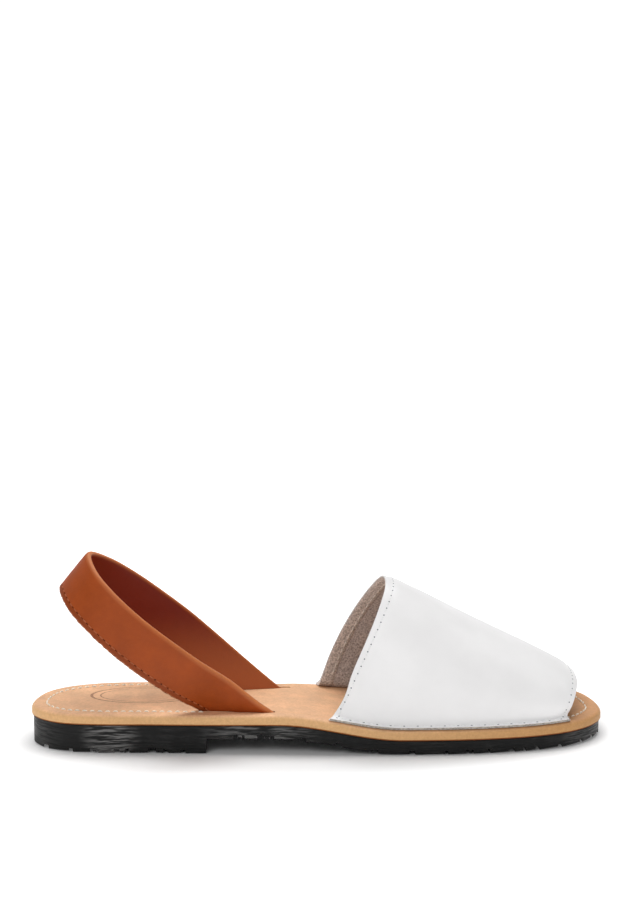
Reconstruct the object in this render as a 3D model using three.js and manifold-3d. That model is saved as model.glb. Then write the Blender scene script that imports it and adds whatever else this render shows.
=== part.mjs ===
// Flat leather sandal for a right foot: a rubber outsole with a low heel, a leather-wrapped footbed,
// a wide open-toed upper stitched down along both edges, and a heel strap let into two slits.
// Millimetres, +X towards the toe, +Y towards the inner (medial) side of the foot, +Z up.
import * as THREE from "three";
import { mergeVertices } from "three/addons/utils/BufferGeometryUtils.js";
import Module from "manifold-3d";

const wasm = await Module();
wasm.setup();

// Sole
const soleLength = 250;
const soleWidth = 82;
const rubberThickness = 6;
const heelLift = 6.2;
const heelLength = 75.8;
const toeSpring = 0.8;
const rubberInset = 0.8;
const rubberBevel = 0.6;
const treadDepth = 1.8;
const centreGroove = 3;
const footbedThickness = 4.6;
const footbedEdgeRadius = 2;
const footbedLowerEdge = 0.7;
const layerGap = 0.3;

// Upper
const upperThickness = 2;
const collarHeight = 57.6;
const toeOpeningHeight = 15.6;
const ridgeSag = 1.5;
const flangeWidth = 5;
const flangeInset = 0.8;
const flangeBend = 1.5;

// Heel strap
const strapWidth = 20;
const strapThickness = 2.8;
const strapReach = 94.2;
const strapSpread = 48;
const strapSlope = THREE.MathUtils.degToRad(38.2);
const strapStart = 94.5;
const strapSkew = 0.22;
const slitClearance = 0.3;
const strapEndGap = 0.1;

// Plan outline of the footbed. along is a share of the length from the heel end, and lateral and medial are
// shares of the width on each side of the line from the middle of the heel to the second toe.
const outlineRows = [
  { along: 0.0, lateral: 0.073, medial: -0.073 },
  { along: 0.018, lateral: 0.2, medial: 0.165 },
  { along: 0.055, lateral: 0.289, medial: 0.282 },
  { along: 0.115, lateral: 0.33, medial: 0.351 },
  { along: 0.2, lateral: 0.345, medial: 0.365 },
  { along: 0.3, lateral: 0.368, medial: 0.337 },
  { along: 0.42, lateral: 0.384, medial: 0.295 },
  { along: 0.52, lateral: 0.415, medial: 0.37 },
  { along: 0.62, lateral: 0.434, medial: 0.482 },
  { along: 0.72, lateral: 0.437, medial: 0.555 },
  { along: 0.8, lateral: 0.42, medial: 0.57 },
  { along: 0.88, lateral: 0.378, medial: 0.518 },
  { along: 0.94, lateral: 0.304, medial: 0.427 },
  { along: 0.98, lateral: 0.189, medial: 0.305 },
  { along: 1.0, lateral: 0.037, medial: -0.037 },
];
const samplesPerRow = 4;

// Where the sole's underside leaves the floor, as shares of the length.
const shankEnd = 0.432;
const ballStart = 0.643;
const ballEnd = 0.76;

// Grooves across the tread: middle and width, as shares of the length.
const treadRows = [
  { along: 0.027, width: 0.009 },
  { along: 0.071, width: 0.007 },
  { along: 0.111, width: 0.014 },
  { along: 0.158, width: 0.028 },
  { along: 0.221, width: 0.036 },
  { along: 0.264, width: 0.009 },
  { along: 0.36, width: 0.02 },
  { along: 0.406, width: 0.03 },
  { along: 0.47, width: 0.009 },
  { along: 0.53, width: 0.012 },
  { along: 0.593, width: 0.011 },
  { along: 0.656, width: 0.011 },
  { along: 0.716, width: 0.006 },
  { along: 0.756, width: 0.014 },
  { along: 0.789, width: 0.005 },
  { along: 0.829, width: 0.012 },
  { along: 0.852, width: 0.005 },
  { along: 0.875, width: 0.008 },
  { along: 0.916, width: 0.008 },
  { along: 0.956, width: 0.006 },
];

function smooth(t) {
  const s = THREE.MathUtils.clamp(t, 0, 1);
  return s * s * (3 - 2 * s);
}

// Height of the underside of the rubber above the floor, without the heel block.
function groundRise(x) {
  const share = x / soleLength;
  const arch = heelLift * (1 - smooth((share - shankEnd) / (ballStart - shankEnd)));
  const spring = toeSpring * Math.max(0, (share - ballEnd) / (1 - ballEnd)) ** 2;
  return arch + spring;
}

const footbedBottom = (x) => groundRise(x) + rubberThickness + layerGap;
const footbedTop = (x) => footbedBottom(x) + footbedThickness;

// The outline as a closed ring: the outer side from heel to toe, then the inner side back.
function outlineRing() {
  const lateral = outlineRows.map((row) => [row.along * soleLength, -row.lateral * soleWidth]);
  const inner = outlineRows.slice(1, -1).reverse();
  const medial = inner.map((row) => [row.along * soleLength, row.medial * soleWidth]);
  const points = [...lateral, ...medial].map(([x, y]) => new THREE.Vector3(x, y, 0));
  const curve = new THREE.CatmullRomCurve3(points, true, "centripetal");
  const count = points.length * samplesPerRow;
  return Array.from({ length: count }, (_, i) => curve.getPoint((i + 0.5) / count));
}

const outline = outlineRing();
const outlineInward = outline.map((_, i) => {
  const before = outline[(i + outline.length - 1) % outline.length];
  const after = outline[(i + 1) % outline.length];
  const run = after.clone().sub(before).normalize();
  return new THREE.Vector3(-run.y, run.x, 0);
});

// The outline moved inwards by inset and lifted to height(x).
function ringAt(inset, height) {
  return outline.map((p, i) => {
    const moved = p.clone().addScaledVector(outlineInward[i], inset);
    moved.z = height(p.x);
    return moved;
  });
}

// A closed solid through rings that all have the same even number of points. The end rings are closed
// by strips that join point k to point count - 1 - k.
function loft(rings) {
  const count = rings[0].length;
  const vertices = rings.flat();
  const triangles = [];
  rings.slice(1).forEach((_, r) => {
    for (let k = 0; k < count; k++) {
      const a = r * count + k;
      const b = r * count + ((k + 1) % count);
      triangles.push(a, b, b + count, a, b + count, a + count);
    }
  });
  const last = (rings.length - 1) * count;
  for (let k = 0; k < count / 2 - 1; k++) {
    const [a, b, c, d] = [k, k + 1, count - 2 - k, count - 1 - k];
    triangles.push(a, c, b, a, d, c);
    triangles.push(last + a, last + b, last + c, last + a, last + c, last + d);
  }
  const geometry = new THREE.BufferGeometry();
  const numbers = vertices.flatMap((p) => p.toArray());
  geometry.setAttribute("position", new THREE.Float32BufferAttribute(numbers, 3));
  geometry.setIndex(triangles);
  return geometry;
}

function solidOf(geometry) {
  const bare = geometry.clone();
  bare.deleteAttribute("normal");
  bare.deleteAttribute("uv");
  const merged = mergeVertices(bare, 1e-4);
  const mesh = new wasm.Mesh({
    numProp: 3,
    vertProperties: merged.attributes.position.array,
    triVerts: new Uint32Array(merged.index.array),
  });
  return new wasm.Manifold(mesh);
}

function geometryOf(solid) {
  const mesh = solid.getMesh();
  const geometry = new THREE.BufferGeometry();
  geometry.setAttribute("position", new THREE.Float32BufferAttribute(mesh.vertProperties, 3));
  geometry.setIndex(Array.from(mesh.triVerts));
  return geometry.toNonIndexed();
}

function block(lengths, centre) {
  return solidOf(new THREE.BoxGeometry(...lengths).translate(...centre));
}

// Rubber outsole: an even sheet that follows the arch and toe spring, with a heel block under it and
// grooves across and along the tread.
function makeOutsole() {
  const sheet = solidOf(
    loft([
      ringAt(rubberInset + rubberBevel, groundRise),
      ringAt(rubberInset, (x) => groundRise(x) + rubberBevel),
      ringAt(rubberInset, (x) => groundRise(x) + rubberThickness),
    ]),
  );
  const heelPrism = solidOf(
    loft([
      ringAt(rubberInset + rubberBevel, () => 0),
      ringAt(rubberInset, () => rubberBevel),
      ringAt(rubberInset, () => heelLift + rubberThickness / 2),
    ]),
  );
  const heelSide = block([2 * heelLength, 2 * soleWidth, 4 * heelLift], [0, 0, 2 * heelLift]);
  const heel = heelPrism.intersect(heelSide);
  let rubber = sheet.add(heel);
  for (const { along, width } of treadRows) {
    const x = along * soleLength;
    const floor = x < heelLength ? 0 : groundRise(x);
    const groove = block([width * soleLength, 2 * soleWidth, 2 * treadDepth], [x, 0, floor]);
    rubber = rubber.subtract(groove);
  }
  return rubber.subtract(block([2 * soleLength, centreGroove, 2 * treadDepth], [soleLength / 2, 0, 0]));
}

// Footbed: one wrapped slab with a rounded upper edge.
function makeFootbed() {
  const r = footbedEdgeRadius;
  const lift = (share) => (x) => footbedBottom(x) + share;
  const roll = [0, 30, 60, 90].map(THREE.MathUtils.degToRad);
  return solidOf(
    loft([
      ringAt(footbedLowerEdge, lift(0)),
      ringAt(0, lift(footbedLowerEdge)),
      ...roll.map((angle) => {
        const height = footbedThickness - r * (1 - Math.sin(angle));
        return ringAt(r * (1 - Math.cos(angle)), lift(height));
      }),
    ]),
  );
}

// Plan point on one side of the outline at x, moved inwards by inset.
function sidePoint(side, x, inset) {
  const half = outline.length / 2;
  const start = side < 0 ? 0 : half;
  for (let i = start; i < start + half - 1; i++) {
    const [a, b] = [outline[i], outline[i + 1]];
    if ((a.x - x) * (b.x - x) <= 0) {
      const t = (x - a.x) / (b.x - a.x || 1);
      const inward = outlineInward[i].clone().lerp(outlineInward[i + 1], t);
      return a.clone().lerp(b, t).addScaledVector(inward, inset);
    }
  }
  return outline[start].clone();
}

// The upper's long edges and its ridge, from the collar to the toe opening, in shares of the length.
const upperRows = {
  lateral: { collar: 0.5157, toe: 0.933 },
  medial: { collar: 0.5022, toe: 0.977 },
  ridge: { collar: 0.6154, toe: 0.948 },
};
const ridgeAcross = 0.53;
const flangeShares = [0, 0.4, 0.75];

// Section of the upper from each long edge to the ridge. exponent is the squareness of the arch, lean bends
// the opening's edge backwards, and bow is how far the side stands out past its base, as a share of
// collarHeight.
const archRows = {
  lateral: {
    collar: { exponent: 0.615, lean: 1.1, bow: 0.015 },
    toe: { exponent: 0.72, lean: 1, bow: 0.01 },
  },
  medial: {
    collar: { exponent: 0.772, lean: 1.244, bow: 0.061 },
    toe: { exponent: 0.85, lean: 1, bow: 0.01 },
  },
};
const archDegrees = [8, 20, 34, 50, 70, 90, 110, 130, 146, 160, 172];
const upperStations = 15;
const upperSamples = 44;

// Inner face of the upper at share s of its length: the lateral flange, the arch and the medial flange.
function upperInside(s) {
  const at = (row) => THREE.MathUtils.lerp(row.collar, row.toe, s) * soleLength;
  const [outerX, innerX, ridgeX] = [at(upperRows.lateral), at(upperRows.medial), at(upperRows.ridge)];
  const ridgeEnd = (row, height) => footbedTop(row * soleLength) + height;
  const ridgeEnds = [
    ridgeEnd(upperRows.ridge.collar, collarHeight),
    ridgeEnd(upperRows.ridge.toe, toeOpeningHeight),
  ];
  const ridgeZ = THREE.MathUtils.lerp(...ridgeEnds, s) - ridgeSag * Math.sin(Math.PI * s);
  const edge = (side, x, inset) => {
    const p = sidePoint(side, x, inset);
    p.z = footbedTop(p.x) + layerGap;
    return p;
  };
  const flange = (side, x) => flangeShares.map((share) => edge(side, x, flangeInset + share * flangeWidth));
  const [a, b] = [edge(-1, outerX, flangeInset + flangeWidth), edge(1, innerX, flangeInset + flangeWidth)];
  const middle = a.clone().lerp(b, ridgeAcross);
  const bend = (foot) => foot.clone().setZ(foot.z + flangeBend);
  const points = [...flange(-1, outerX), bend(a)];
  for (const degrees of archDegrees) {
    const angle = THREE.MathUtils.degToRad(degrees);
    const [foot, row, outward] = degrees < 90 ? [a, archRows.lateral, -1] : [b, archRows.medial, 1];
    const [exponent, lean, bow] = ["exponent", "lean", "bow"].map((key) =>
      THREE.MathUtils.lerp(row.collar[key], row.toe[key], s),
    );
    const rise = Math.sin(angle) ** exponent;
    const p = middle.clone().lerp(foot, Math.abs(Math.cos(angle)) ** exponent);
    p.y += outward * bow * collarHeight * Math.sin(Math.PI * rise);
    p.x = THREE.MathUtils.lerp(foot.x, ridgeX, rise ** lean);
    p.z = THREE.MathUtils.lerp(foot.z, ridgeZ, rise);
    points.push(p);
  }
  points.push(bend(b), ...flange(1, innerX).reverse());
  const curve = new THREE.CatmullRomCurve3(points, false, "centripetal");
  return Array.from({ length: upperSamples }, (_, i) => curve.getPoint(i / (upperSamples - 1)));
}

function makeUpper() {
  const inside = Array.from({ length: upperStations }, (_, i) => upperInside(i / (upperStations - 1)));
  const outside = inside.map((row, i) =>
    row.map((p, j) => {
      const along = inside[Math.min(i + 1, inside.length - 1)][j].clone().sub(inside[Math.max(i - 1, 0)][j]);
      const across = row[Math.min(j + 1, row.length - 1)].clone().sub(row[Math.max(j - 1, 0)]);
      return p.clone().addScaledVector(along.cross(across).normalize(), upperThickness);
    }),
  );
  return solidOf(loft(inside.map((row, i) => [...outside[i].slice().reverse(), ...row])));
}

// Heel strap: a folded band of even width. Its middle line lies in a plane that rises towards the heel end.
// reach is a share of strapReach from the slits, and lateral and medial are shares of strapSpread.
const strapRows = [
  { reach: -0.12, lateral: 0.433, medial: 0.319 },
  { reach: 0.0, lateral: 0.467, medial: 0.333 },
  { reach: 0.12, lateral: 0.488, medial: 0.335 },
  { reach: 0.28, lateral: 0.606, medial: 0.34 },
  { reach: 0.46, lateral: 0.656, medial: 0.344 },
  { reach: 0.62, lateral: 0.64, medial: 0.327 },
  { reach: 0.78, lateral: 0.542, medial: 0.281 },
  { reach: 0.91, lateral: 0.369, medial: 0.179 },
];
const strapTop = -0.035;
const strapSamples = 56;

// How far the band's top edge leans outwards, in degrees, at the slits, half way and at the back.
const strapLean = { lateral: [25, -3, -1.5], medial: [35, 9, -1.5] };

// Half thickness of the band from its lower edge to its fold. along is a share of the width, and half a
// share of the thickness.
const strapSectionRows = [
  { along: -0.5, half: 0.3 },
  { along: -0.48, half: 0.42 },
  { along: -0.34, half: 0.44 },
  { along: 0, half: 0.48 },
  { along: 0.34, half: 0.5 },
  { along: 0.44, half: 0.46 },
  { along: 0.48, half: 0.3 },
  { along: 0.5, half: 0.1 },
];

function strapSection(grow) {
  const front = strapSectionRows.map(({ along, half }) => [
    half * strapThickness + grow,
    along * (strapWidth + 2 * grow),
  ]);
  return [...front, ...front.map(([n, w]) => [-n, w]).reverse()];
}

function strapSolid(grow) {
  const reachAxis = new THREE.Vector3(-Math.cos(strapSlope), 0, Math.sin(strapSlope));
  const widthAxis = new THREE.Vector3(Math.sin(strapSlope), 0, Math.cos(strapSlope));
  const origin = new THREE.Vector3(strapStart, 0, footbedTop(strapStart));
  const sideAxis = new THREE.Vector3(strapSkew, 1, 0);
  const place = (reach, side) =>
    origin
      .clone()
      .addScaledVector(reachAxis, reach * strapReach)
      .addScaledVector(sideAxis, side * strapSpread);
  const lateral = strapRows.map((row) => place(row.reach, -row.lateral));
  const medial = strapRows.map((row) => place(row.reach, row.medial)).reverse();
  const points = [...lateral, place(1, strapTop), ...medial];
  const curve = new THREE.CatmullRomCurve3(points, false, "centripetal");
  const path = curve.getSpacedPoints(strapSamples - 1);
  const tail = footbedThickness / Math.sin(strapSlope) + strapWidth;
  const ends = [path[0], path[path.length - 1]].map((p) => p.clone().addScaledVector(reachAxis, -tail));
  path.unshift(ends[0]);
  path.push(ends[1]);
  const section = strapSection(grow);
  const rings = path.map((p, i) => {
    const run = path[Math.min(i + 1, path.length - 1)].clone().sub(path[Math.max(i - 1, 0)]).normalize();
    const outward = widthAxis.clone().cross(run).normalize();
    const share = THREE.MathUtils.clamp(p.clone().sub(origin).dot(reachAxis) / strapReach, 0, 1);
    const [slit, half, back] = i < path.length / 2 ? strapLean.lateral : strapLean.medial;
    const [from, to, t] = share < 0.5 ? [slit, half, 2 * share] : [half, back, 2 * share - 1];
    const degrees = THREE.MathUtils.lerp(from, to, t);
    const lean = THREE.MathUtils.degToRad(degrees);
    const up = widthAxis.clone().applyAxisAngle(run, -lean);
    const out = outward.applyAxisAngle(run, -lean);
    return section.map(([n, w]) => p.clone().addScaledVector(out, n).addScaledVector(up, w));
  });
  return solidOf(loft(rings));
}

// The strap ends just above the underside of the footbed, inside its slits.
const strapEnd = footbedBottom(strapStart) + strapEndGap;
const underStrap = block([4 * soleLength, 4 * soleWidth, 4 * soleLength], [0, 0, strapEnd - 2 * soleLength]);

const footbed = makeFootbed().subtract(strapSolid(slitClearance));
const strap = strapSolid(0).subtract(underStrap);

const pieces = [
  { name: "outsole", solid: makeOutsole(), color: 0x252525, roughness: 0.7 },
  { name: "footbed", solid: footbed, color: 0xd9a873, roughness: 0.6 },
  { name: "upper", solid: makeUpper(), color: 0xf2f2f2, roughness: 0.5 },
  { name: "heel_strap", solid: strap, color: 0x9c4a23, roughness: 0.5 },
];

const sandal = new THREE.Group();
for (const { name, solid, color, roughness } of pieces) {
  const mesh = new THREE.Mesh(geometryOf(solid), new THREE.MeshStandardMaterial({ color, roughness }));
  mesh.name = name;
  sandal.add(mesh);
}

// The origin is the middle of the bounding box on the floor.
const bounds = new THREE.Box3().setFromObject(sandal);
const centre = bounds.getCenter(new THREE.Vector3());
sandal.position.set(-centre.x, -centre.y, -bounds.min.z);

export default sandal;
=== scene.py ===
import math
from bisect import bisect_right

import bpy
from mathutils import Matrix, Vector, noise


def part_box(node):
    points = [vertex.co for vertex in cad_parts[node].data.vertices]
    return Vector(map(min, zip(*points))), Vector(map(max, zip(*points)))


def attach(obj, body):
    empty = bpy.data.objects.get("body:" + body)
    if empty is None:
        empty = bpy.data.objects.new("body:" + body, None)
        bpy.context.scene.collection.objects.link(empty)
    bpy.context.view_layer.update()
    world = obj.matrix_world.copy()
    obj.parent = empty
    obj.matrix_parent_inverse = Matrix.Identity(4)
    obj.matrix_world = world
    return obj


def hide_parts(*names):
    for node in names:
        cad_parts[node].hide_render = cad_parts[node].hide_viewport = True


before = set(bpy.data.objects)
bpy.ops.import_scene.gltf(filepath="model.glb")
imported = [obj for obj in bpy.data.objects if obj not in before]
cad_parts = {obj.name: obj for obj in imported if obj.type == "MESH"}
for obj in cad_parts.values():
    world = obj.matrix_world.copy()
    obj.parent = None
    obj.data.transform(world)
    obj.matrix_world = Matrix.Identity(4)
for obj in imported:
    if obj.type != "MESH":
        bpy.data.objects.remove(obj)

bl_info = {
    "name": "Flat leather sandal",
    "version": (1, 0, 0),
    "blender": (4, 5, 0),
    "location": "View3D > Sidebar > Sandal",
    "description": "Models a flat sandal with a heel strap, one piece at a time",
    "category": "Add Mesh",
}

MM = 0.001
BODY = "root"

# Plan outline of the footbed: share of the length from the heel end, then shares of the width on the
# outer and the inner side of the line from the middle of the heel to the second toe.
OUTLINE_ROWS = (
    (0.0, 0.073, -0.073),
    (0.018, 0.2, 0.165),
    (0.055, 0.289, 0.282),
    (0.115, 0.33, 0.351),
    (0.2, 0.345, 0.365),
    (0.3, 0.368, 0.337),
    (0.42, 0.384, 0.295),
    (0.52, 0.415, 0.37),
    (0.62, 0.434, 0.482),
    (0.72, 0.437, 0.555),
    (0.8, 0.42, 0.57),
    (0.88, 0.378, 0.518),
    (0.94, 0.304, 0.427),
    (0.98, 0.189, 0.305),
    (1.0, 0.037, -0.037),
)
OUTLINE_SAMPLES = 40
SOLE_STATIONS = 160

# Where the underside leaves the floor, as shares of the length.
SHANK_END = 0.432
BALL_START = 0.643
BALL_END = 0.76

# Grooves across the tread: middle and width, as shares of the length.
TREAD_ROWS = (
    (0.027, 0.009), (0.071, 0.007), (0.111, 0.014), (0.158, 0.028), (0.221, 0.036),
    (0.264, 0.009), (0.36, 0.02), (0.406, 0.03), (0.47, 0.009), (0.53, 0.012),
    (0.593, 0.011), (0.656, 0.011), (0.716, 0.006), (0.756, 0.014), (0.789, 0.005),
    (0.829, 0.012), (0.852, 0.005), (0.875, 0.008), (0.916, 0.008), (0.956, 0.006),
    (0.978, 0.006), (0.991, 0.005),
)

# A groove wider than this share is split in three parts: shift and width in shares of it, and depth in
# shares of the tread's.
WIDE_GROOVE = 0.012
WIDE_GROOVE_PARTS = ((-0.29, 0.42, 1.2), (0.06, 0.26, 0.7), (0.36, 0.28, 1.1))

# The bars across reach this many sole widths, and lean by up to this angle in waves along the sole.
BAR_REACH = 2.4
BAR_LEAN = math.radians(2.5)

# A cutter's bar is this much wider than its groove at the mouth, and tapers to this share of its width.
BAR_MOUTH = 1.16
BAR_TAPER = 0.72

# Each lug stands lowest at its heel end, by this much.
LUG_SLANT = 0.5 * MM

# Patches of painted highlight on the rubber's wall, drawn grey on the lines' crests: place, full and outer
# radius, strength.
HIGHLIGHT_PATCHES = (
    ((-0.09, -0.03, 0.008), 5 * MM, 15 * MM, 1.0),
    ((-0.118, -0.012, 0.008), 4 * MM, 22 * MM, 0.3),
    ((-0.026, -0.034, 0.011), 8 * MM, 30 * MM, 0.75),
    ((0.117, -0.02, 0.006), 6 * MM, 22 * MM, 0.5),
)

# Long edges and ridge of the upper at the collar and at the toe opening, in shares of the sole's length.
UPPER_OUTER = (0.5157, 0.933)
UPPER_INNER = (0.5022, 0.977)
UPPER_RIDGE = (0.617, 0.9495)
RIDGE_ACROSS = 0.53
FLANGE_SHARES = (0, 0.4, 0.75)
ARCH_DEGREES = (8, 20, 34, 50, 70, 90, 110, 130, 146, 160, 172)

# Squareness of the arch, lean of the opening's edge and bow of the side, at the collar and at the toe.
ARCH_OUTER = ((0.615, 1.1, 0.015), (0.72, 1.0, 0.01))
ARCH_INNER = ((0.772, 1.32, 0.061), (0.85, 1.0, 0.01))
UPPER_ROWS = 84
FLANGE_COLUMNS = 8
ARCH_COLUMNS = 150
COLUMN_WIDTH = 0.85 * MM

# How the hollow above a flange is filled: columns that may move, columns that move in full, columns over
# which this fades, and the number of passes.
FILL_ZONE = 14
FILL_FULL = 4
FILL_FADE = 10
FILL_PASSES = 50

# Rounded corners at the collar and at the toe opening. On the inner side, near the flange, the collar
# reaches further towards the heel, and the toe opening is cut back.
COLLAR_CORNER = 1.0 * MM
TOE_CORNER = 0.9 * MM
COLLAR_FLARE = 0.8 * MM
FLARE_WIDTH = 7 * MM
TOE_CUT_BACK = 9 * MM
CUT_BACK_WIDTH = 9 * MM

# Hollows of the collar's outer edge: distance from the flange's edge, half width and depth.
COLLAR_HOLLOWS = ((12.5 * MM, 8.5 * MM, 2.2 * MM), (32 * MM, 22 * MM, 1.1 * MM), (0, 3 * MM, -1.3 * MM))
TOE_REACH = 1.2 * MM

# Rounded rim of the upper's openings: share of the way to the middle of the leather, then how far it
# stands out.
RIM_ROWS = ((1.0, 0.24 * MM), (0.6, 0.22 * MM), (0.25, 0.14 * MM))

# Width of the border over which the leather thins to its cut edge.
SKIVED_BORDER = 6 * MM

# Waves of leather that isn't stretched, and the border at the flanges that they spare.
WAVE_HEIGHT = 0.35 * MM
WAVE_LENGTH = 24 * MM
WAVE_BORDER = 15 * MM

# Soft dents of the upper: place, size and depth.
DENTS = (
    ((0.098, -0.022, 0.026), (0.012, 0.014, 0.007), 0.9 * MM),
    ((0.106, -0.012, 0.03), (0.006, 0.01, 0.006), 0.5 * MM),
)

# Middle line of the heel strap: share of the reach from the slits, shares of the spread on the outer and
# the inner side, then how far the inner side stands back towards the heel.
STRAP_ROWS = (
    (-0.12, 0.433, 0.282, 4.0 * MM),
    (0.0, 0.467, 0.3, 3.6 * MM),
    (0.12, 0.488, 0.314, 2.9 * MM),
    (0.28, 0.606, 0.334, 1.8 * MM),
    (0.46, 0.656, 0.344, 0.6 * MM),
    (0.62, 0.64, 0.327, 0.2 * MM),
    (0.78, 0.542, 0.281, 0.0),
    (0.91, 0.369, 0.179, 0.0),
)
STRAP_TOP = -0.035
STRAP_SKEW = 0.22
STRAP_LEAN = ((25, -3, -1.5), (18, 9, -1.5))

# Half of the folded band's section, from the gap between its two raw edges to the fold: distance out from
# the middle in shares of the thickness, then height in shares of the width.
STRAP_SECTION = (
    (0.0, -0.462), (0.05, -0.49), (0.15, -0.499), (0.3, -0.5), (0.4, -0.488), (0.436, -0.462),
    (0.44, -0.42), (0.425, -0.395), (0.405, -0.375), (0.425, -0.355), (0.44, -0.33), (0.455, -0.25),
    (0.465, -0.15), (0.475, 0.0), (0.485, 0.15), (0.497, 0.27), (0.5, 0.34), (0.49, 0.395),
    (0.46, 0.437), (0.4, 0.468), (0.3, 0.49), (0.16, 0.5), (0.0, 0.503),
)
STRAP_SAMPLES = 480

# The strap's seams lie this far out, in shares of its thickness.
SEAM_OUT = 0.4

# Radii of the needle holes in the upper and in the strap.
UPPER_HOLE = 0.31 * MM
STRAP_HOLE = 0.5 * MM

# Where seams end: the footbed's two in shares of the length, the flange's and the strap's in shares of the
# seam's own line.
HEEL_SEAM_END = 0.3
TOE_SEAM_END = 0.9
FLANGE_SEAM = (0.02, 0.965)
STRAP_SEAM = (0.06, 0.94)

# A stitch is thinner than its thread where it is drawn tight, and shorter than its pitch.
TIGHT = 0.7
STITCH_SHARE = 0.7

# What is left of the footbed's inner slit past the strap's fold: length, width and depth of its cutter, and
# how far its middle lies past the fold.
SLIT_END = Vector((7.5, 1.7, 6)) * MM
SLIT_END_SHIFT = 1.0 * MM

# Profile of the footbed's top round its stitched groove: insets in millimetres, then depth and half width.
GROOVE_INSETS = (3.2, 4.4, 5.2, 5.7, 6.0, 6.25, 6.5, 6.75, 7.0, 7.3, 7.8)
GROOVE_DEPTH = 0.22 * MM
GROOVE_HALF_WIDTH = 0.45 * MM

# Settings of colour and map nodes.
COLOURS = {"data_type": "RGBA"}
TINTS = {"data_type": "RGBA", "blend_type": "MULTIPLY"}
EASED = {"interpolation_type": "SMOOTHSTEP"}

# Area lights: name, place, size and power. They look at AIM.
SOFTBOXES = (
    ("back_softbox", (0.05, 0.52, 1.57), 1.4, 24.5),
    ("front_softbox", (-0.8, -1.85, 1.6), 1.2, 16),
)
AIM = Vector((0, 0, 0.03))

# The photo's camera: what it looks at, its direction from there, distance, turn and focal length.
CAMERA_TARGET = Vector((0, -5.4 * MM, 35 * MM))
CAMERA_AZIMUTH = math.radians(-2.445)
CAMERA_HEIGHT = math.radians(14.1)
CAMERA_DISTANCE = 1.13
CAMERA_TURN = (math.radians(80.402), 0, math.radians(-2.397))
CAMERA_LENS = 101.43


def linear(code):
    """Linear colour with alpha from an sRGB hex code such as #A0B0C0."""
    channels = [int(code[i:i + 2], 16) / 255 for i in (1, 3, 5)]
    return tuple(c / 12.92 if c <= 0.04045 else ((c + 0.055) / 1.055) ** 2.4 for c in channels) + (1.0,)


def smooth(t):
    """Eases from 0 to 1 as t goes from 0 to 1."""
    t = min(max(t, 0.0), 1.0)
    return t * t * (3 - 2 * t)


def mix(a, b, t):
    return a + (b - a) * t


def length_property(name, description, default):
    return bpy.props.FloatProperty(
        name=name, description=description, default=default, min=0.0, unit="LENGTH", precision=4
    )


def colour_property(name, description, code):
    return bpy.props.FloatVectorProperty(
        name=name, description=description, default=linear(code), size=4, min=0.0, max=1.0, subtype="COLOR"
    )


class SandalSole(bpy.types.PropertyGroup):
    """Sizes of the rubber outsole and the footbed."""

    length: length_property("Length", "Length of the footbed", 250 * MM)
    width: length_property("Width", "Width that the outline's shares refer to", 82 * MM)
    rubber_thickness: length_property("Rubber thickness", "Thickness of the rubber sheet", 6 * MM)
    heel_lift: length_property("Heel lift", "How far the heel block lifts the sheet", 6.2 * MM)
    heel_length: length_property("Heel length", "Length of the heel block", 75.8 * MM)
    toe_spring: length_property("Toe spring", "How far the toe end stands off the floor", 0.8 * MM)
    rubber_inset: length_property("Rubber inset", "How far the rubber stands back", 0.8 * MM)
    rubber_bevel: length_property("Rubber bevel", "Bevel along the tread's edge", 0.6 * MM)
    tread_depth: length_property("Tread depth", "Depth of the tread's grooves", 1.8 * MM)
    centre_groove: length_property("Centre groove", "Width of the lengthwise groove", 3 * MM)
    footbed_thickness: length_property("Footbed thickness", "Thickness of the footbed", 4.6 * MM)
    footbed_roll: length_property("Footbed edge radius", "Radius of the rolled upper edge", 2 * MM)
    layer_gap: length_property("Layer gap", "Gap between the glued layers", 0.3 * MM)


class SandalUpper(bpy.types.PropertyGroup):
    """Sizes of the upper."""

    thickness: length_property("Thickness", "Thickness of leather and lining", 2 * MM)
    edge_thickness: length_property("Edge thickness", "Thickness at the skived edges", 0.9 * MM)
    collar_height: length_property("Collar height", "Height of the collar over the footbed", 59.2 * MM)
    toe_height: length_property("Toe opening height", "Height of the toe opening", 15 * MM)
    ridge_sag: length_property("Ridge sag", "Dip of the ridge between its ends", 1.5 * MM)
    flange_width: length_property("Flange width", "Width of the edge that lies on the footbed", 5 * MM)
    flange_inset: length_property("Flange inset", "Distance of the flange from the footbed's edge", 0.8 * MM)
    flange_bend: length_property("Flange bend", "Height of the bend above the flange", 1.5 * MM)
    edging_width: length_property("Edging width", "Width of the strip inside the collar", 4.8 * MM)


class SandalStrap(bpy.types.PropertyGroup):
    """Sizes of the heel strap."""

    width: length_property("Width", "Width of the folded band", 20 * MM)
    thickness: length_property("Thickness", "Thickness of the folded band", 2.8 * MM)
    reach: length_property("Reach", "Length of the loop from the slits to the back", 94.2 * MM)
    spread: length_property("Spread", "Width that the loop's shares refer to", 48 * MM)
    start: length_property("Start", "Distance of the slits from the heel end", 94.5 * MM)
    slope: bpy.props.FloatProperty(
        name="Slope", description="Slope of the loop", default=math.radians(38.2), subtype="ANGLE"
    )
    slit_clearance: length_property("Slit clearance", "Room round the band in its slits", 0.3 * MM)
    end_gap: length_property("End gap", "Height of the cut ends above the underside", 0.1 * MM)


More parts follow.
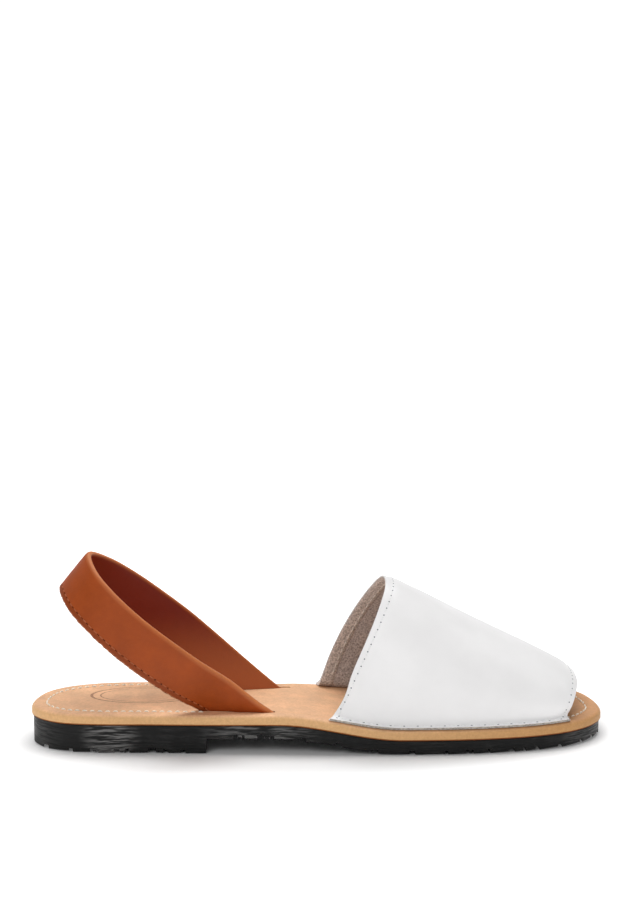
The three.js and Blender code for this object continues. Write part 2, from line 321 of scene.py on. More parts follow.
class SandalSeams(bpy.types.PropertyGroup):
    """Sizes of the stitches and their holes."""

    footbed_inset: length_property("Footbed seam", "Distance of the seam from the rim", 6.5 * MM)
    footbed_pitch: length_property("Footbed pitch", "Distance from hole to hole in the footbed", 3.3 * MM)
    edge_pitch: length_property("Edge pitch", "Distance from hole to hole in upper and strap", 3.45 * MM)
    flange_pitch: length_property("Flange pitch", "Distance from hole to hole in the flange", 5.5 * MM)
    collar_inset: length_property("Collar seam", "Distance of the seam from the collar", 3.2 * MM)
    toe_inset: length_property("Toe seam", "Distance of the seam from the toe opening", 2.4 * MM)
    flange_inset: length_property("Flange seam", "Distance of the seam from the flange's edge", 2.3 * MM)
    strap_inset: length_property("Strap seam", "Distance of the seam from the raw edges", 2.5 * MM)
    thread: length_property("Thread", "Thickness of the sewing thread", 0.6 * MM)


class SandalColours(bpy.types.PropertyGroup):
    """Colours of the materials."""

    upper: colour_property("Upper", "White finished leather", "#E8E7E7")
    lining: colour_property("Lining", "Grey-beige suede", "#B8ACA6")
    edging: colour_property("Edging", "Strip inside the collar", "#C0B4AC")
    cut_edge: colour_property("Cut edge", "Raw edge of the flange", "#B4ACA2")
    strap: colour_property("Strap", "Mid brown leather", "#984316")
    # Painted shade: a dark red brown inside the back of the loop.
    strap_inside_shade: colour_property("Strap, inside", "Brown leather inside the back of the loop", "#6C1A02")
    # Painted light: a paler brown low down inside the loop, near the slits.
    strap_lit: colour_property("Strap, inside, low", "Brown leather inside the loop's ends", "#A95A32")
    # Lighter brown along the fold: partly wear from rubbing, partly a painted highlight.
    strap_fold_wear_and_highlight: colour_property("Strap, fold wear and highlight", "Brown leather along the fold", "#C67A4A")
    footbed: colour_property("Footbed", "Tan leather", "#F2C096")
    footbed_rim: colour_property("Footbed rim", "Tan leather round the edge", "#DAAD7A")
    rubber: colour_property("Rubber", "Black rubber", "#0A0A0A")
    cream_thread: colour_property("Cream thread", "Thread in the footbed", "#FFF3E0")
    white_thread: colour_property("White thread", "Thread in the upper", "#ECECEC")
    brown_thread: colour_property("Brown thread", "Thread in the strap", "#A65A34")
    mark: colour_property("Heel mark", "Printed double oval", "#8A5B45")
    floor: colour_property("Floor", "Pale paper floor", "#E8E8E8")


def spline(points, share, closed=False):
    """Point of the centripetal Catmull-Rom curve through points, at a share of its spans."""
    count = len(points)
    spans = count if closed else count - 1
    place = share * spans
    first = min(int(place), spans - 1)
    t = place - first

    def at(i):
        if closed:
            return points[i % count]
        if i < 0:
            return 2 * points[0] - points[1]
        if i >= count:
            return 2 * points[-1] - points[-2]
        return points[i]

    p0, p1, p2, p3 = (at(first + k) for k in (-1, 0, 1, 2))
    d0, d1, d2 = (max((b - a).length, 1e-9) ** 0.5 for a, b in ((p0, p1), (p1, p2), (p2, p3)))
    m1 = ((p1 - p0) / d0 - (p2 - p0) / (d0 + d1) + (p2 - p1) / d1) * d1
    m2 = ((p2 - p1) / d1 - (p3 - p1) / (d1 + d2) + (p3 - p2) / d2) * d1
    return (
        p1 * (2 * t**3 - 3 * t**2 + 1)
        + m1 * (t**3 - 2 * t**2 + t)
        + p2 * (3 * t**2 - 2 * t**3)
        + m2 * (t**3 - t**2)
    )


def run_lengths(points):
    """Distance along a line of points to each of them."""
    lengths = [0.0]
    for a, b in zip(points, points[1:]):
        lengths.append(lengths[-1] + (b - a).length)
    return lengths


def even_steps(lengths, count):
    """The segment, and the share of it, at count + 1 evenly spaced places along a line."""
    found = []
    for k in range(count + 1):
        want = lengths[-1] * k / count
        i = min(max(bisect_right(lengths, want) - 1, 0), len(lengths) - 2)
        found.append((i, (want - lengths[i]) / (lengths[i + 1] - lengths[i] or 1.0)))
    return found


def even_shares(line, pitch, start=0.0, end=1.0):
    """Shares between start and end at which the points line(share) are one pitch apart."""
    steps = 600
    shares = [mix(start, end, i / steps) for i in range(steps + 1)]
    lengths = run_lengths([line(share) for share in shares])
    count = max(int(lengths[-1] / pitch), 1)
    return [mix(shares[i], shares[i + 1], t) for i, t in even_steps(lengths, count)]


def even_points(line, count, start=0.0, end=1.0):
    """count + 1 points of line(share), evenly spaced between two shares."""
    steps = max(60, count)
    points = [line(mix(start, end, i / steps)) for i in range(steps + 1)]
    return [points[i].lerp(points[i + 1], t) for i, t in even_steps(run_lengths(points), count)]


class SolePlan:
    """Outline and heights of the sole, in metres in the frame's coordinates."""

    def __init__(self, sole):
        self.sole = sole
        outer = [Vector((a * sole.length, -o * sole.width, 0)) for a, o, i in OUTLINE_ROWS]
        inner = [Vector((a * sole.length, i * sole.width, 0)) for a, o, i in OUTLINE_ROWS[-2:0:-1]]
        corners = outer + inner
        count = len(corners) * OUTLINE_SAMPLES
        ring = [spline(corners, k / count, closed=True) for k in range(count)]
        low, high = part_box("footbed")
        across = [p.y for p in ring]
        along = [p.x for p in ring]
        self.heel_end = (low.x + high.x - min(along) - max(along)) / 2
        self.middle = (low.y + high.y - min(across) - max(across)) / 2
        ring = [p + Vector((self.heel_end, self.middle, 0)) for p in ring]
        runs = [(ring[(k + 1) % count] - ring[k - 1]).normalized() for k in range(count)]
        inward = [Vector((-run.y, run.x, 0)) for run in runs]
        heel, toe = along.index(min(along)), along.index(max(along))
        outer_side = [(heel + k) % count for k in range((toe - heel) % count + 1)]
        inner_side = [(heel - k) % count for k in range((heel - toe) % count + 1)]
        self.sides = {
            side: ([ring[k].x for k in order], [ring[k] for k in order], [inward[k] for k in order])
            for side, order in ((-1, outer_side), (1, inner_side))
        }

    def side_point(self, side, x, inset=0.0):
        """Point of one side of the outline at x, moved inwards. Side -1 is the outer one."""
        places, points, inward = self.sides[side]
        x = min(max(x, places[0]), places[-1])
        i = min(max(bisect_right(places, x) - 1, 0), len(places) - 2)
        t = (x - places[i]) / (places[i + 1] - places[i] or 1.0)
        normal = inward[i].lerp(inward[i + 1], t).normalized()
        return points[i].lerp(points[i + 1], t) + normal * inset

    def x_at(self, share):
        return self.heel_end + share * self.sole.length

    def ground_rise(self, x):
        """Height of the rubber sheet's underside above the floor."""
        share = (x - self.heel_end) / self.sole.length
        arch = self.sole.heel_lift * (1 - smooth((share - SHANK_END) / (BALL_START - SHANK_END)))
        spring = self.sole.toe_spring * max(0.0, (share - BALL_END) / (1 - BALL_END)) ** 2
        return arch + spring

    def footbed_bottom(self, x):
        return self.ground_rise(x) + self.sole.rubber_thickness + self.sole.layer_gap

    def footbed_top(self, x):
        return self.footbed_bottom(x) + self.sole.footbed_thickness

    def stations(self, step_at=None):
        """Places along the sole, closer at its ends, each with a flag that says if it lies before step_at."""
        low, high = self.sides[-1][0][0], self.sides[-1][0][-1]
        turns = [math.pi * k / SOLE_STATIONS for k in range(SOLE_STATIONS + 1)]
        places = [low + (high - low) * (1 - math.cos(turn)) / 2 for turn in turns]
        if step_at is None:
            return [(x, False) for x in places]
        half_step = 0.15 * MM
        before = [(x, True) for x in places if x < step_at - 3 * half_step]
        after = [(x, False) for x in places if x > step_at + 3 * half_step]
        return before + [(step_at - half_step, True), (step_at + half_step, False)] + after


class UpperShell:
    """Outer and inner face of the upper, as tables of points. Rows run from the collar to the toe opening,
    columns from the outer flange over the arch to the inner flange."""

    def __init__(self, upper, plan):
        self.upper = upper
        self.plan = plan
        self.last = 2 * FLANGE_COLUMNS + ARCH_COLUMNS
        first, end, spare_rows = -0.1, 1.08, 96
        lines = [self.even_line(mix(first, end, i / spare_rows)) for i in range(spare_rows + 1)]

        def on_line(column, s):
            place = (s - first) / (end - first) * spare_rows
            i = min(max(int(place), 0), spare_rows - 1)
            return lines[i][column].lerp(lines[i + 1][column], place - i)

        self.inner = [[None] * (self.last + 1) for _ in range(UPPER_ROWS + 1)]
        for column in range(self.last + 1):
            run = (on_line(column, 1.0) - on_line(column, 0.0)).length
            start, stop = self.ends(column)
            for row in range(UPPER_ROWS + 1):
                s = mix(start / run, 1 + stop / run, row / UPPER_ROWS)
                self.inner[row][column] = on_line(column, s)
        self.outer = [list(row) for row in self.inner]
        for row in range(UPPER_ROWS + 1):
            for column in range(self.last + 1):
                out = self.out(self.inner, row, column)
                self.outer[row][column] = self.inner[row][column] + out * self.thickness(row, column)
        self.outer = [self.eased(row) for row in self.outer]
        self.shape_by_hand()

    def even_line(self, s):
        """Evenly spaced points across the inner face at s: one flange, the arch, the other flange."""
        points = self.section(s)
        spans = len(points) - 1
        bend = len(FLANGE_SHARES)
        cuts = (0, bend / spans, 1 - bend / spans, 1)
        line = []
        for start, end, count in zip(cuts, cuts[1:], (FLANGE_COLUMNS, ARCH_COLUMNS, FLANGE_COLUMNS)):
            line += even_points(lambda share: spline(points, share), count, start, end)[:-1]
        return line + [points[-1]]

    def section(self, s):
        """Points that the inner face passes through at s."""
        upper, plan = self.upper, self.plan
        outer_x, inner_x, ridge_x = (
            plan.x_at(mix(*row, s)) for row in (UPPER_OUTER, UPPER_INNER, UPPER_RIDGE)
        )
        heights = (upper.collar_height, upper.toe_height)
        ends = [plan.footbed_top(plan.x_at(x)) + h for x, h in zip(UPPER_RIDGE, heights)]
        ridge_z = mix(*ends, s) - upper.ridge_sag * math.sin(math.pi * s)

        def edge(side, x, inset):
            p = plan.side_point(side, x, inset)
            p.z = plan.footbed_top(p.x) + plan.sole.layer_gap
            return p

        def flange(side, x):
            return [edge(side, x, upper.flange_inset + share * upper.flange_width) for share in FLANGE_SHARES]

        reach = upper.flange_inset + upper.flange_width
        a, b = edge(-1, outer_x, reach), edge(1, inner_x, reach)
        middle = a.lerp(b, RIDGE_ACROSS)
        bend = Vector((0, 0, upper.flange_bend))
        points = flange(-1, outer_x) + [a + bend]
        for degrees in ARCH_DEGREES:
            angle = math.radians(degrees)
            foot, rows, outward = (a, ARCH_OUTER, -1) if degrees < 90 else (b, ARCH_INNER, 1)
            exponent, lean, bow = (mix(c, e, s) for c, e in zip(*rows))
            rise = math.sin(angle) ** exponent
            p = middle.lerp(foot, abs(math.cos(angle)) ** exponent)
            p.y += outward * bow * upper.collar_height * math.sin(math.pi * rise)
            p.x = mix(foot.x, ridge_x, rise**lean)
            p.z = mix(foot.z, ridge_z, rise)
            points.append(p)
        return points + [b + bend] + flange(1, inner_x)[::-1]

    def from_edge(self, column):
        """Rough distance of a column from the nearer flange's edge, along the section."""
        return min(column, self.last - column) * COLUMN_WIDTH

    def ends(self, column):
        """How far the collar and the toe opening are moved towards the toe, in metres, at a column."""
        away = self.from_edge(column)
        outer = column < self.last / 2

        def cut(radius):
            corner = max(radius - away, 0.0)
            return radius - math.sqrt(radius**2 - corner**2)

        def bell(middle, half_width):
            return math.exp(-(((away - middle) / half_width) ** 2))

        start, stop = cut(COLLAR_CORNER), TOE_REACH - cut(TOE_CORNER)
        if outer:
            start += sum(depth * bell(middle, half_width) for middle, half_width, depth in COLLAR_HOLLOWS)
        else:
            start -= COLLAR_FLARE * bell(0, FLARE_WIDTH)
            stop -= TOE_CUT_BACK * bell(0, CUT_BACK_WIDTH)
        return start, stop

    def collar_seam(self, inset, column):
        """Share of the rows at which the collar's seam crosses a column. The seam runs straighter than the
        edge, but keeps clear of it."""
        hollow = max(self.ends(column)[0], 0.0)
        return self.share_at(max(inset - hollow, 1.0 * MM), column)

    def eased(self, line):
        """The line with the hollow above each flange filled, as thick leather fills it."""
        zone = FLANGE_COLUMNS + FILL_ZONE
        full = FLANGE_COLUMNS + FILL_FULL
        weights = [1 - smooth((min(j, self.last - j) - full) / FILL_FADE) for j in range(len(line))]
        for _ in range(FILL_PASSES):
            moved = list(line)
            for j in list(range(1, zone)) + list(range(self.last - zone + 1, self.last)):
                moved[j] = line[j].lerp((line[j - 1] + line[j + 1]) / 2, 0.5 * weights[j])
            line = moved
        return line

    def shape_by_hand(self):
        """The soft dent beside the toe opening and the slight waves of leather that isn't stretched."""
        for row in range(UPPER_ROWS + 1):
            for column in range(self.last + 1):
                p = self.outer[row][column]
                out = self.out(self.outer, row, column)
                free = smooth(self.from_edge(column) / WAVE_BORDER)
                wave = WAVE_HEIGHT * noise.noise(p / WAVE_LENGTH)
                dent = 0.0
                for place, size, depth in DENTS:
                    gap = p - Vector(place)
                    dent += depth * math.exp(-sum((g / r) ** 2 for g, r in zip(gap, size)))
                self.outer[row][column] = p + out * free * (wave - dent)

    def out(self, table, row, column):
        """Direction out of a face at a point of its table."""
        ahead, behind = table[min(row + 1, UPPER_ROWS)][column], table[max(row - 1, 0)][column]
        right, left = table[row][min(column + 1, self.last)], table[row][max(column - 1, 0)]
        return (ahead - behind).cross(right - left).normalized()

    def thickness(self, row, column):
        """Leather and lining together, thinner at the cut edges."""
        run = (self.inner[UPPER_ROWS][column] - self.inner[0][column]).length
        flange = 1 - smooth((min(column, self.last - column) - 2) / FLANGE_COLUMNS)
        share = row / UPPER_ROWS
        rim = 1 - smooth(min(share, 1 - share) * run / SKIVED_BORDER)
        return mix(self.upper.thickness, self.upper.edge_thickness, max(flange, rim))

    def at(self, table, s, column):
        """Point of a face, and the direction out of it, at a share of the rows and a column."""
        place = min(max(s, 0.0), 1.0) * UPPER_ROWS
        i, j = min(int(place), UPPER_ROWS - 1), min(int(column), self.last - 1)
        t, u = place - i, column - j
        p = table[i][j].lerp(table[i][j + 1], u).lerp(table[i + 1][j].lerp(table[i + 1][j + 1], u), t)
        return p, self.out(table, i if t < 0.5 else i + 1, j if u < 0.5 else j + 1)

    def share_at(self, distance, column):
        """Share of the rows at a distance from the collar."""
        column = int(column)
        return distance / (self.inner[UPPER_ROWS][column] - self.inner[0][column]).length


class StrapLoop:
    """Middle line of the heel strap and the directions of its section."""

    def __init__(self, strap, plan):
        self.strap = strap
        self.reach_axis = Vector((-math.cos(strap.slope), 0, math.sin(strap.slope)))
        self.width_axis = Vector((math.sin(strap.slope), 0, math.cos(strap.slope)))
        start = plan.heel_end + strap.start
        self.origin = Vector((start, plan.middle, plan.footbed_top(start)))
        self.end_height = plan.footbed_bottom(start) + strap.end_gap
        side_axis = Vector((STRAP_SKEW, 1, 0))

        def place(reach, side):
            return self.origin + self.reach_axis * reach * strap.reach + side_axis * side * strap.spread

        outer = [place(reach, -o) for reach, o, i, back in STRAP_ROWS]
        inner = [place(reach, i) - Vector((back, 0, 0)) for reach, o, i, back in STRAP_ROWS[::-1]]
        corners = outer + [place(1.0, STRAP_TOP)] + inner
        shares = even_shares(lambda share: spline(corners, share), 1 * MM)
        self.line = [spline(corners, share) for share in shares]
        self.lengths = run_lengths(self.line)
        self.tail = 30 * MM

    def point(self, distance):
        """Point at a distance along the loop; the tails run straight on below the slits."""
        total = self.lengths[-1]
        if distance < 0:
            return self.line[0] + self.reach_axis * distance
        if distance > total:
            return self.line[-1] - self.reach_axis * (distance - total)
        i = min(bisect_right(self.lengths, distance) - 1, len(self.line) - 2)
        t = (distance - self.lengths[i]) / (self.lengths[i + 1] - self.lengths[i])
        return self.line[i].lerp(self.line[i + 1], t)

    def axes(self, distance):
        """Point, run, outward and upward direction of the leaning section."""
        p = self.point(distance)
        step = 2 * MM
        run = (self.point(distance + step) - self.point(distance - step)).normalized()
        share = min(max((p - self.origin).dot(self.reach_axis) / self.strap.reach, 0.0), 1.0)
        slit, half, back = STRAP_LEAN[0 if distance < self.lengths[-1] / 2 else 1]
        degrees = mix(slit, half, 2 * share) if share < 0.5 else mix(half, back, 2 * share - 1)
        turn = Matrix.Rotation(-math.radians(degrees), 3, run)
        return p, run, turn @ self.width_axis.cross(run).normalized(), turn @ self.width_axis

    def section_point(self, distance, out_share, up_share, grow=0.0):
        """Point of the section at a distance; grow makes the section larger all round."""
        p, _, out, up = self.axes(distance)
        side = 0.0 if out_share == 0 else math.copysign(1.0, out_share)
        return (
            p
            + out * (out_share * self.strap.thickness + side * grow)
            + up * up_share * (self.strap.width + 2 * grow)
        )


def select_only(piece):
    bpy.ops.object.select_all(action="DESELECT")
    piece.select_set(True)
    bpy.context.view_layer.objects.active = piece


def shaped_grid(name, columns, rows, place):
    """Adds a grid of faces and puts its points where place(column, row) says."""
    bpy.ops.object.select_all(action="DESELECT")
    bpy.ops.mesh.primitive_grid_add(x_subdivisions=columns, y_subdivisions=rows, size=1)
    piece = bpy.context.object
    piece.name = name
    piece.data.name = name
    for point in piece.data.vertices:
        point.co = place(round((point.co.x + 0.5) * columns), round((point.co.y + 0.5) * rows))
    return piece


def close_up(piece):
    """Merges doubled points and turns all faces outwards."""
    select_only(piece)
    bpy.ops.object.mode_set(mode="EDIT")
    bpy.ops.mesh.select_all(action="SELECT")
    bpy.ops.mesh.remove_doubles(threshold=2e-6)
    bpy.ops.mesh.normals_make_consistent(inside=False)
    bpy.ops.object.mode_set(mode="OBJECT")


def slice_off(piece, point, normal):
    """Cuts a closed piece at a plane, drops what lies on the normal's side and fills the cut."""
    select_only(piece)
    bpy.ops.object.mode_set(mode="EDIT")
    bpy.ops.mesh.select_all(action="SELECT")
    bpy.ops.mesh.bisect(plane_co=point, plane_no=normal, use_fill=True, clear_outer=True)
    bpy.ops.object.mode_set(mode="OBJECT")


def apply_boolean(piece, cutter):
    """Cuts piece with cutter, which is then removed."""
    modifier = piece.modifiers.new("Cut", "BOOLEAN")
    modifier.object = cutter
    modifier.operation = "DIFFERENCE"
    modifier.solver = "EXACT"
    select_only(piece)
    bpy.ops.object.modifier_apply(modifier=modifier.name)
    bpy.data.objects.remove(cutter)


def finish_piece(piece, material, slot, angle, *nodes):
    """Smooths a piece, gives it its material and ties it to the frame."""
    select_only(piece)
    bpy.ops.object.shade_smooth_by_angle(angle=math.radians(angle))
    if material is not None:
        piece.data.materials.clear()
        piece.data.materials.append(material)
    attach(piece, BODY)
    if nodes:
        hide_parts(*nodes)


def wrapped_slab(name, plan, stations, profile):
    """A closed slab round the outline. Each row of profile is an inset, a share of the way from there to
    the middle line, and a height that depends on the point and on the station's flag."""
    outer = [(-1, station) for station in stations]
    inner = [(1, station) for station in stations[-2:0:-1]]
    ring = outer + inner

    def place(column, row):
        side, (x, flag) = ring[column % len(ring)]
        inset, share, height = profile[row]
        edge = plan.side_point(side, x, inset)
        p = edge.lerp((edge + plan.side_point(-side, x, inset)) / 2, share)
        p.z = height(p, flag)
        return p

    piece = shaped_grid(name, len(ring), len(profile) - 1, place)
    close_up(piece)
    return piece


def edit_top_face(piece):
    """Selects the faces that look up, in edit mode."""
    bpy.ops.object.mode_set(mode="EDIT")
    bpy.ops.mesh.select_all(action="DESELECT")
    bpy.ops.object.mode_set(mode="OBJECT")
    for face in piece.data.polygons:
        face.select = face.normal.z > 0.9
    bpy.ops.object.mode_set(mode="EDIT")


def copies_of(name, model, places):
    """One mesh made of copies of model, each with its own points, at the given matrices."""
    bpy.ops.object.select_all(action="DESELECT")
    first = None
    for place in places:
        mesh = model.data.copy()
        mesh.transform(place)
        copy = bpy.data.objects.new(name, mesh)
        bpy.context.collection.objects.link(copy)
        copy.select_set(True)
        first = first or copy
    bpy.context.view_layer.objects.active = first
    bpy.ops.object.join()
    first.name = name
    first.data.name = name
    return first


def standing(p, along, out, scale=(1.0, 1.0, 1.0)):
    """Matrix that puts a model at p with its X along and its Z out of the surface."""
    out = out.normalized()
    across = out.cross(along).normalized()
    along = across.cross(out)
    turn = Matrix((along, across, out)).transposed().to_4x4()
    return Matrix.Translation(p) @ turn @ Matrix.Diagonal((*scale, 1.0))


def result(node):
    """The first output of a node that is in use."""
    return next(output for output in node.outputs if output.enabled)


def add_node(tree, kind, settings=None, **inputs):
    """Adds a node. Each input is named by its socket, or i and its number. It is set to a value, or linked
    to a socket or to the result of another node."""
    node = tree.nodes.new("ShaderNode" + kind)
    for key, value in (settings or {}).items():
        setattr(node, key, value)
    for key, value in inputs.items():
        numbered = key[0] == "i" and key[1:].isdigit()
        socket = node.inputs[int(key[1:]) if numbered else key.replace("_", " ")]
        if isinstance(value, bpy.types.Node):
            value = result(value)
        if isinstance(value, bpy.types.NodeSocket):
            tree.links.new(value, socket)
        else:
            socket.default_value = value
    return node


def new_material(name, specular):
    """A material with a Principled shader. Returns it, its tree, its shader and its coordinates."""
    material = bpy.data.materials.new(name)
    material.use_nodes = True
    tree = material.node_tree
    tree.nodes.clear()
    shader = add_node(tree, "BsdfPrincipled")
    shader.inputs["Specular IOR Level"].default_value = specular
    add_node(tree, "OutputMaterial", Surface=shader)
    return material, tree, shader, add_node(tree, "TexCoord")


def drive(tree, shader, colour, roughness, normal):
    """Links the three sockets that change over the surface."""
    for node, key in ((colour, "Base Color"), (roughness, "Roughness"), (normal, "Normal")):
        tree.links.new(result(node), shader.inputs[key])


def per_mm(size):
    """Noise scale for features of a size in millimetres, on Object coordinates in metres."""
    return 1.0 / (size * MM)


def shade_of(base, factor):
    return [c * factor for c in base[:3]] + [1.0]


def mottled(tree, point, base, factor, low, high, **texture):
    """A noise, and a colour that goes with it from a darker shade of base to base itself."""
    cloud = add_node(tree, "TexNoise", Vector=point, **texture)
    share = add_node(tree, "MapRange", Value=cloud, From_Min=low, From_Max=high)
    return cloud, add_node(tree, "Mix", COLOURS, i0=share, i6=shade_of(base, factor), i7=tuple(base))


def white_leather(colours):
    """White cowhide with a sprayed and plated finish: almost even, with a soft satin light on it."""
    material, tree, shader, place = new_material("white_finished_leather", 0.4)
    point = place.outputs["Object"]
    # Cloudiness of the finish, 20 mm across, so faint that the eye only reads it as real hide.
    cloud, colour = mottled(
        tree, point, colours.upper, 0.95, 0.3, 0.7, Scale=per_mm(20), Detail=3.0, Roughness=0.55
    )
    gloss = add_node(tree, "MapRange", Value=cloud, From_Min=0.3, From_Max=0.7, To_Min=0.38, To_Max=0.5)
    # Hair-cell grain, 0.7 mm, flattened by the plating.
    grain = add_node(tree, "TexVoronoi", {"feature": "F1"}, Vector=point, Scale=per_mm(0.7))
    fine = add_node(tree, "Bump", Height=grain, Strength=0.08, Distance=0.1 * MM)
    wave = add_node(tree, "Bump", Height=cloud, Strength=0.35, Distance=1.2 * MM, Normal=fine)
    drive(tree, shader, colour, gloss, wave)
    return material


def suede_lining(name, base):
    """Split leather with a brushed nap: dull, fibrous, with light and dark fibres under 1 mm."""
    material, tree, shader, place = new_material(name, 0.15)
    shader.inputs["Sheen Weight"].default_value = 0.1
    shader.inputs["Sheen Roughness"].default_value = 0.6
    # The fibres are 0.1 mm in life and are drawn 0.75 mm wide, so that the render shows them.
    fibre = add_node(
        tree, "TexNoise", Vector=place.outputs["Object"], Scale=per_mm(0.75), Detail=2.0, Roughness=0.6
    )
    share = add_node(tree, "MapRange", Value=fibre, From_Min=0.34, From_Max=0.66)
    light = [min(c * 1.4, 1.0) for c in base[:3]] + [1.0]
    colour = add_node(tree, "Mix", COLOURS, i0=share, i6=shade_of(base, 0.6), i7=light)
    rough = add_node(tree, "MapRange", Value=fibre, From_Min=0.3, From_Max=0.7, To_Min=0.85, To_Max=1.0)
    nap = add_node(tree, "Bump", Height=fibre, Strength=0.8, Distance=0.25 * MM)
    drive(tree, shader, colour, rough, nap)
    return material


def cut_leather_edge(name, base, contrast):
    """Raw cut edge of leather: matt, with the grain layer and the fibres as fine lines along it."""
    material, tree, shader, place = new_material(name, 0.2)
    squeeze = add_node(tree, "Mapping", Vector=place.outputs["Object"], Scale=(1.0, 1.0, 2.0))
    fibre, colour = mottled(
        tree, squeeze, base, 1 - contrast, 0.38, 0.62, Scale=per_mm(1.1), Detail=3.0, Roughness=0.6
    )
    rough = add_node(tree, "MapRange", Value=fibre, To_Min=0.75, To_Max=0.95)
    bump = add_node(tree, "Bump", Height=fibre, Strength=contrast, Distance=0.15 * MM)
    drive(tree, shader, colour, rough, bump)
    return material


def brown_leather(colours):
    """Smooth drum-dyed cowhide, waxed: warm brown with a satin gloss, lighter along the fold, partly wear
    from rubbing and partly a painted highlight.
    """
    material, tree, shader, place = new_material("brown_waxed_leather", 0.17)
    point = place.outputs["Object"]
    cloud, colour = mottled(
        tree, point, colours.strap, 0.82, 0.3, 0.7, Scale=per_mm(9), Detail=4.0, Roughness=0.6
    )
    # The section runs once round the band in the second UV, with the fold in the middle.
    uv = add_node(tree, "SeparateXYZ", Vector=place.outputs["UV"])
    from_fold = add_node(tree, "Math", {"operation": "SUBTRACT"}, i0=uv.outputs["Y"], i1=0.5)
    away = add_node(tree, "Math", {"operation": "ABSOLUTE"}, i0=from_fold)
    # Lighter along the fold: partly wear from rubbing, partly a painted highlight.
    fold_wear_and_highlight = add_node(tree, "MapRange", Value=away, From_Min=0.02, From_Max=0.11, To_Min=0.9, To_Max=0.0)
    colour = add_node(tree, "Mix", COLOURS, i0=fold_wear_and_highlight, i6=colour, i7=tuple(colours.strap_fold_wear_and_highlight))
    # Inside the loop is painted shade: a dark red brown high up at the back; low down near the slits, a paler
    # painted light.
    inner = add_node(tree, "MapRange", Value=uv.outputs["Y"], From_Min=0.54, From_Max=0.6)
    spot = add_node(tree, "SeparateXYZ", Vector=point)
    high = add_node(tree, "MapRange", EASED, Value=spot.outputs["Z"], From_Min=0.018, From_Max=0.055)
    inside = add_node(
        tree, "Mix", COLOURS, i0=high, i6=tuple(colours.strap_lit), i7=tuple(colours.strap_inside_shade)
    )
    colour = add_node(tree, "Mix", COLOURS, i0=inner, i6=colour, i7=inside)
    # Outside the seams, towards the raw edges, the band is darker.
    beyond_seams = add_node(tree, "MapRange", Value=away, From_Min=0.31, From_Max=0.325, To_Min=0.0, To_Max=0.55)
    colour = add_node(tree, "Mix", COLOURS, i0=beyond_seams, i6=colour, i7=shade_of(colours.strap, 0.5))
    # The two raw edges show fibres, lighter and darker than the dyed grain.
    raw = add_node(tree, "MapRange", Value=away, From_Min=0.392, From_Max=0.4)
    fibre = add_node(tree, "TexNoise", Vector=point, Scale=per_mm(0.7), Detail=3.0, Roughness=0.7)
    fuzz = add_node(tree, "MapRange", Value=fibre, From_Min=0.35, From_Max=0.65)
    edge = add_node(tree, "Mix", COLOURS, i0=fuzz, i6=linear("#5E2413"), i7=linear("#B57A55"))
    colour = add_node(tree, "Mix", COLOURS, i0=raw, i6=colour, i7=edge)
    gloss = add_node(tree, "MapRange", Value=cloud, From_Min=0.3, From_Max=0.7, To_Min=0.4, To_Max=0.52)
    # Pebbled grain, 0.8 mm, as on lightly milled hide.
    grain = add_node(tree, "TexVoronoi", {"feature": "F1"}, Vector=point, Scale=per_mm(0.8))
    bump = add_node(tree, "Bump", Height=grain, Strength=0.3, Distance=0.15 * MM)
    wave = add_node(tree, "Bump", Height=cloud, Strength=0.4, Distance=0.5 * MM, Normal=bump)
    drive(tree, shader, colour, gloss, wave)
    return material


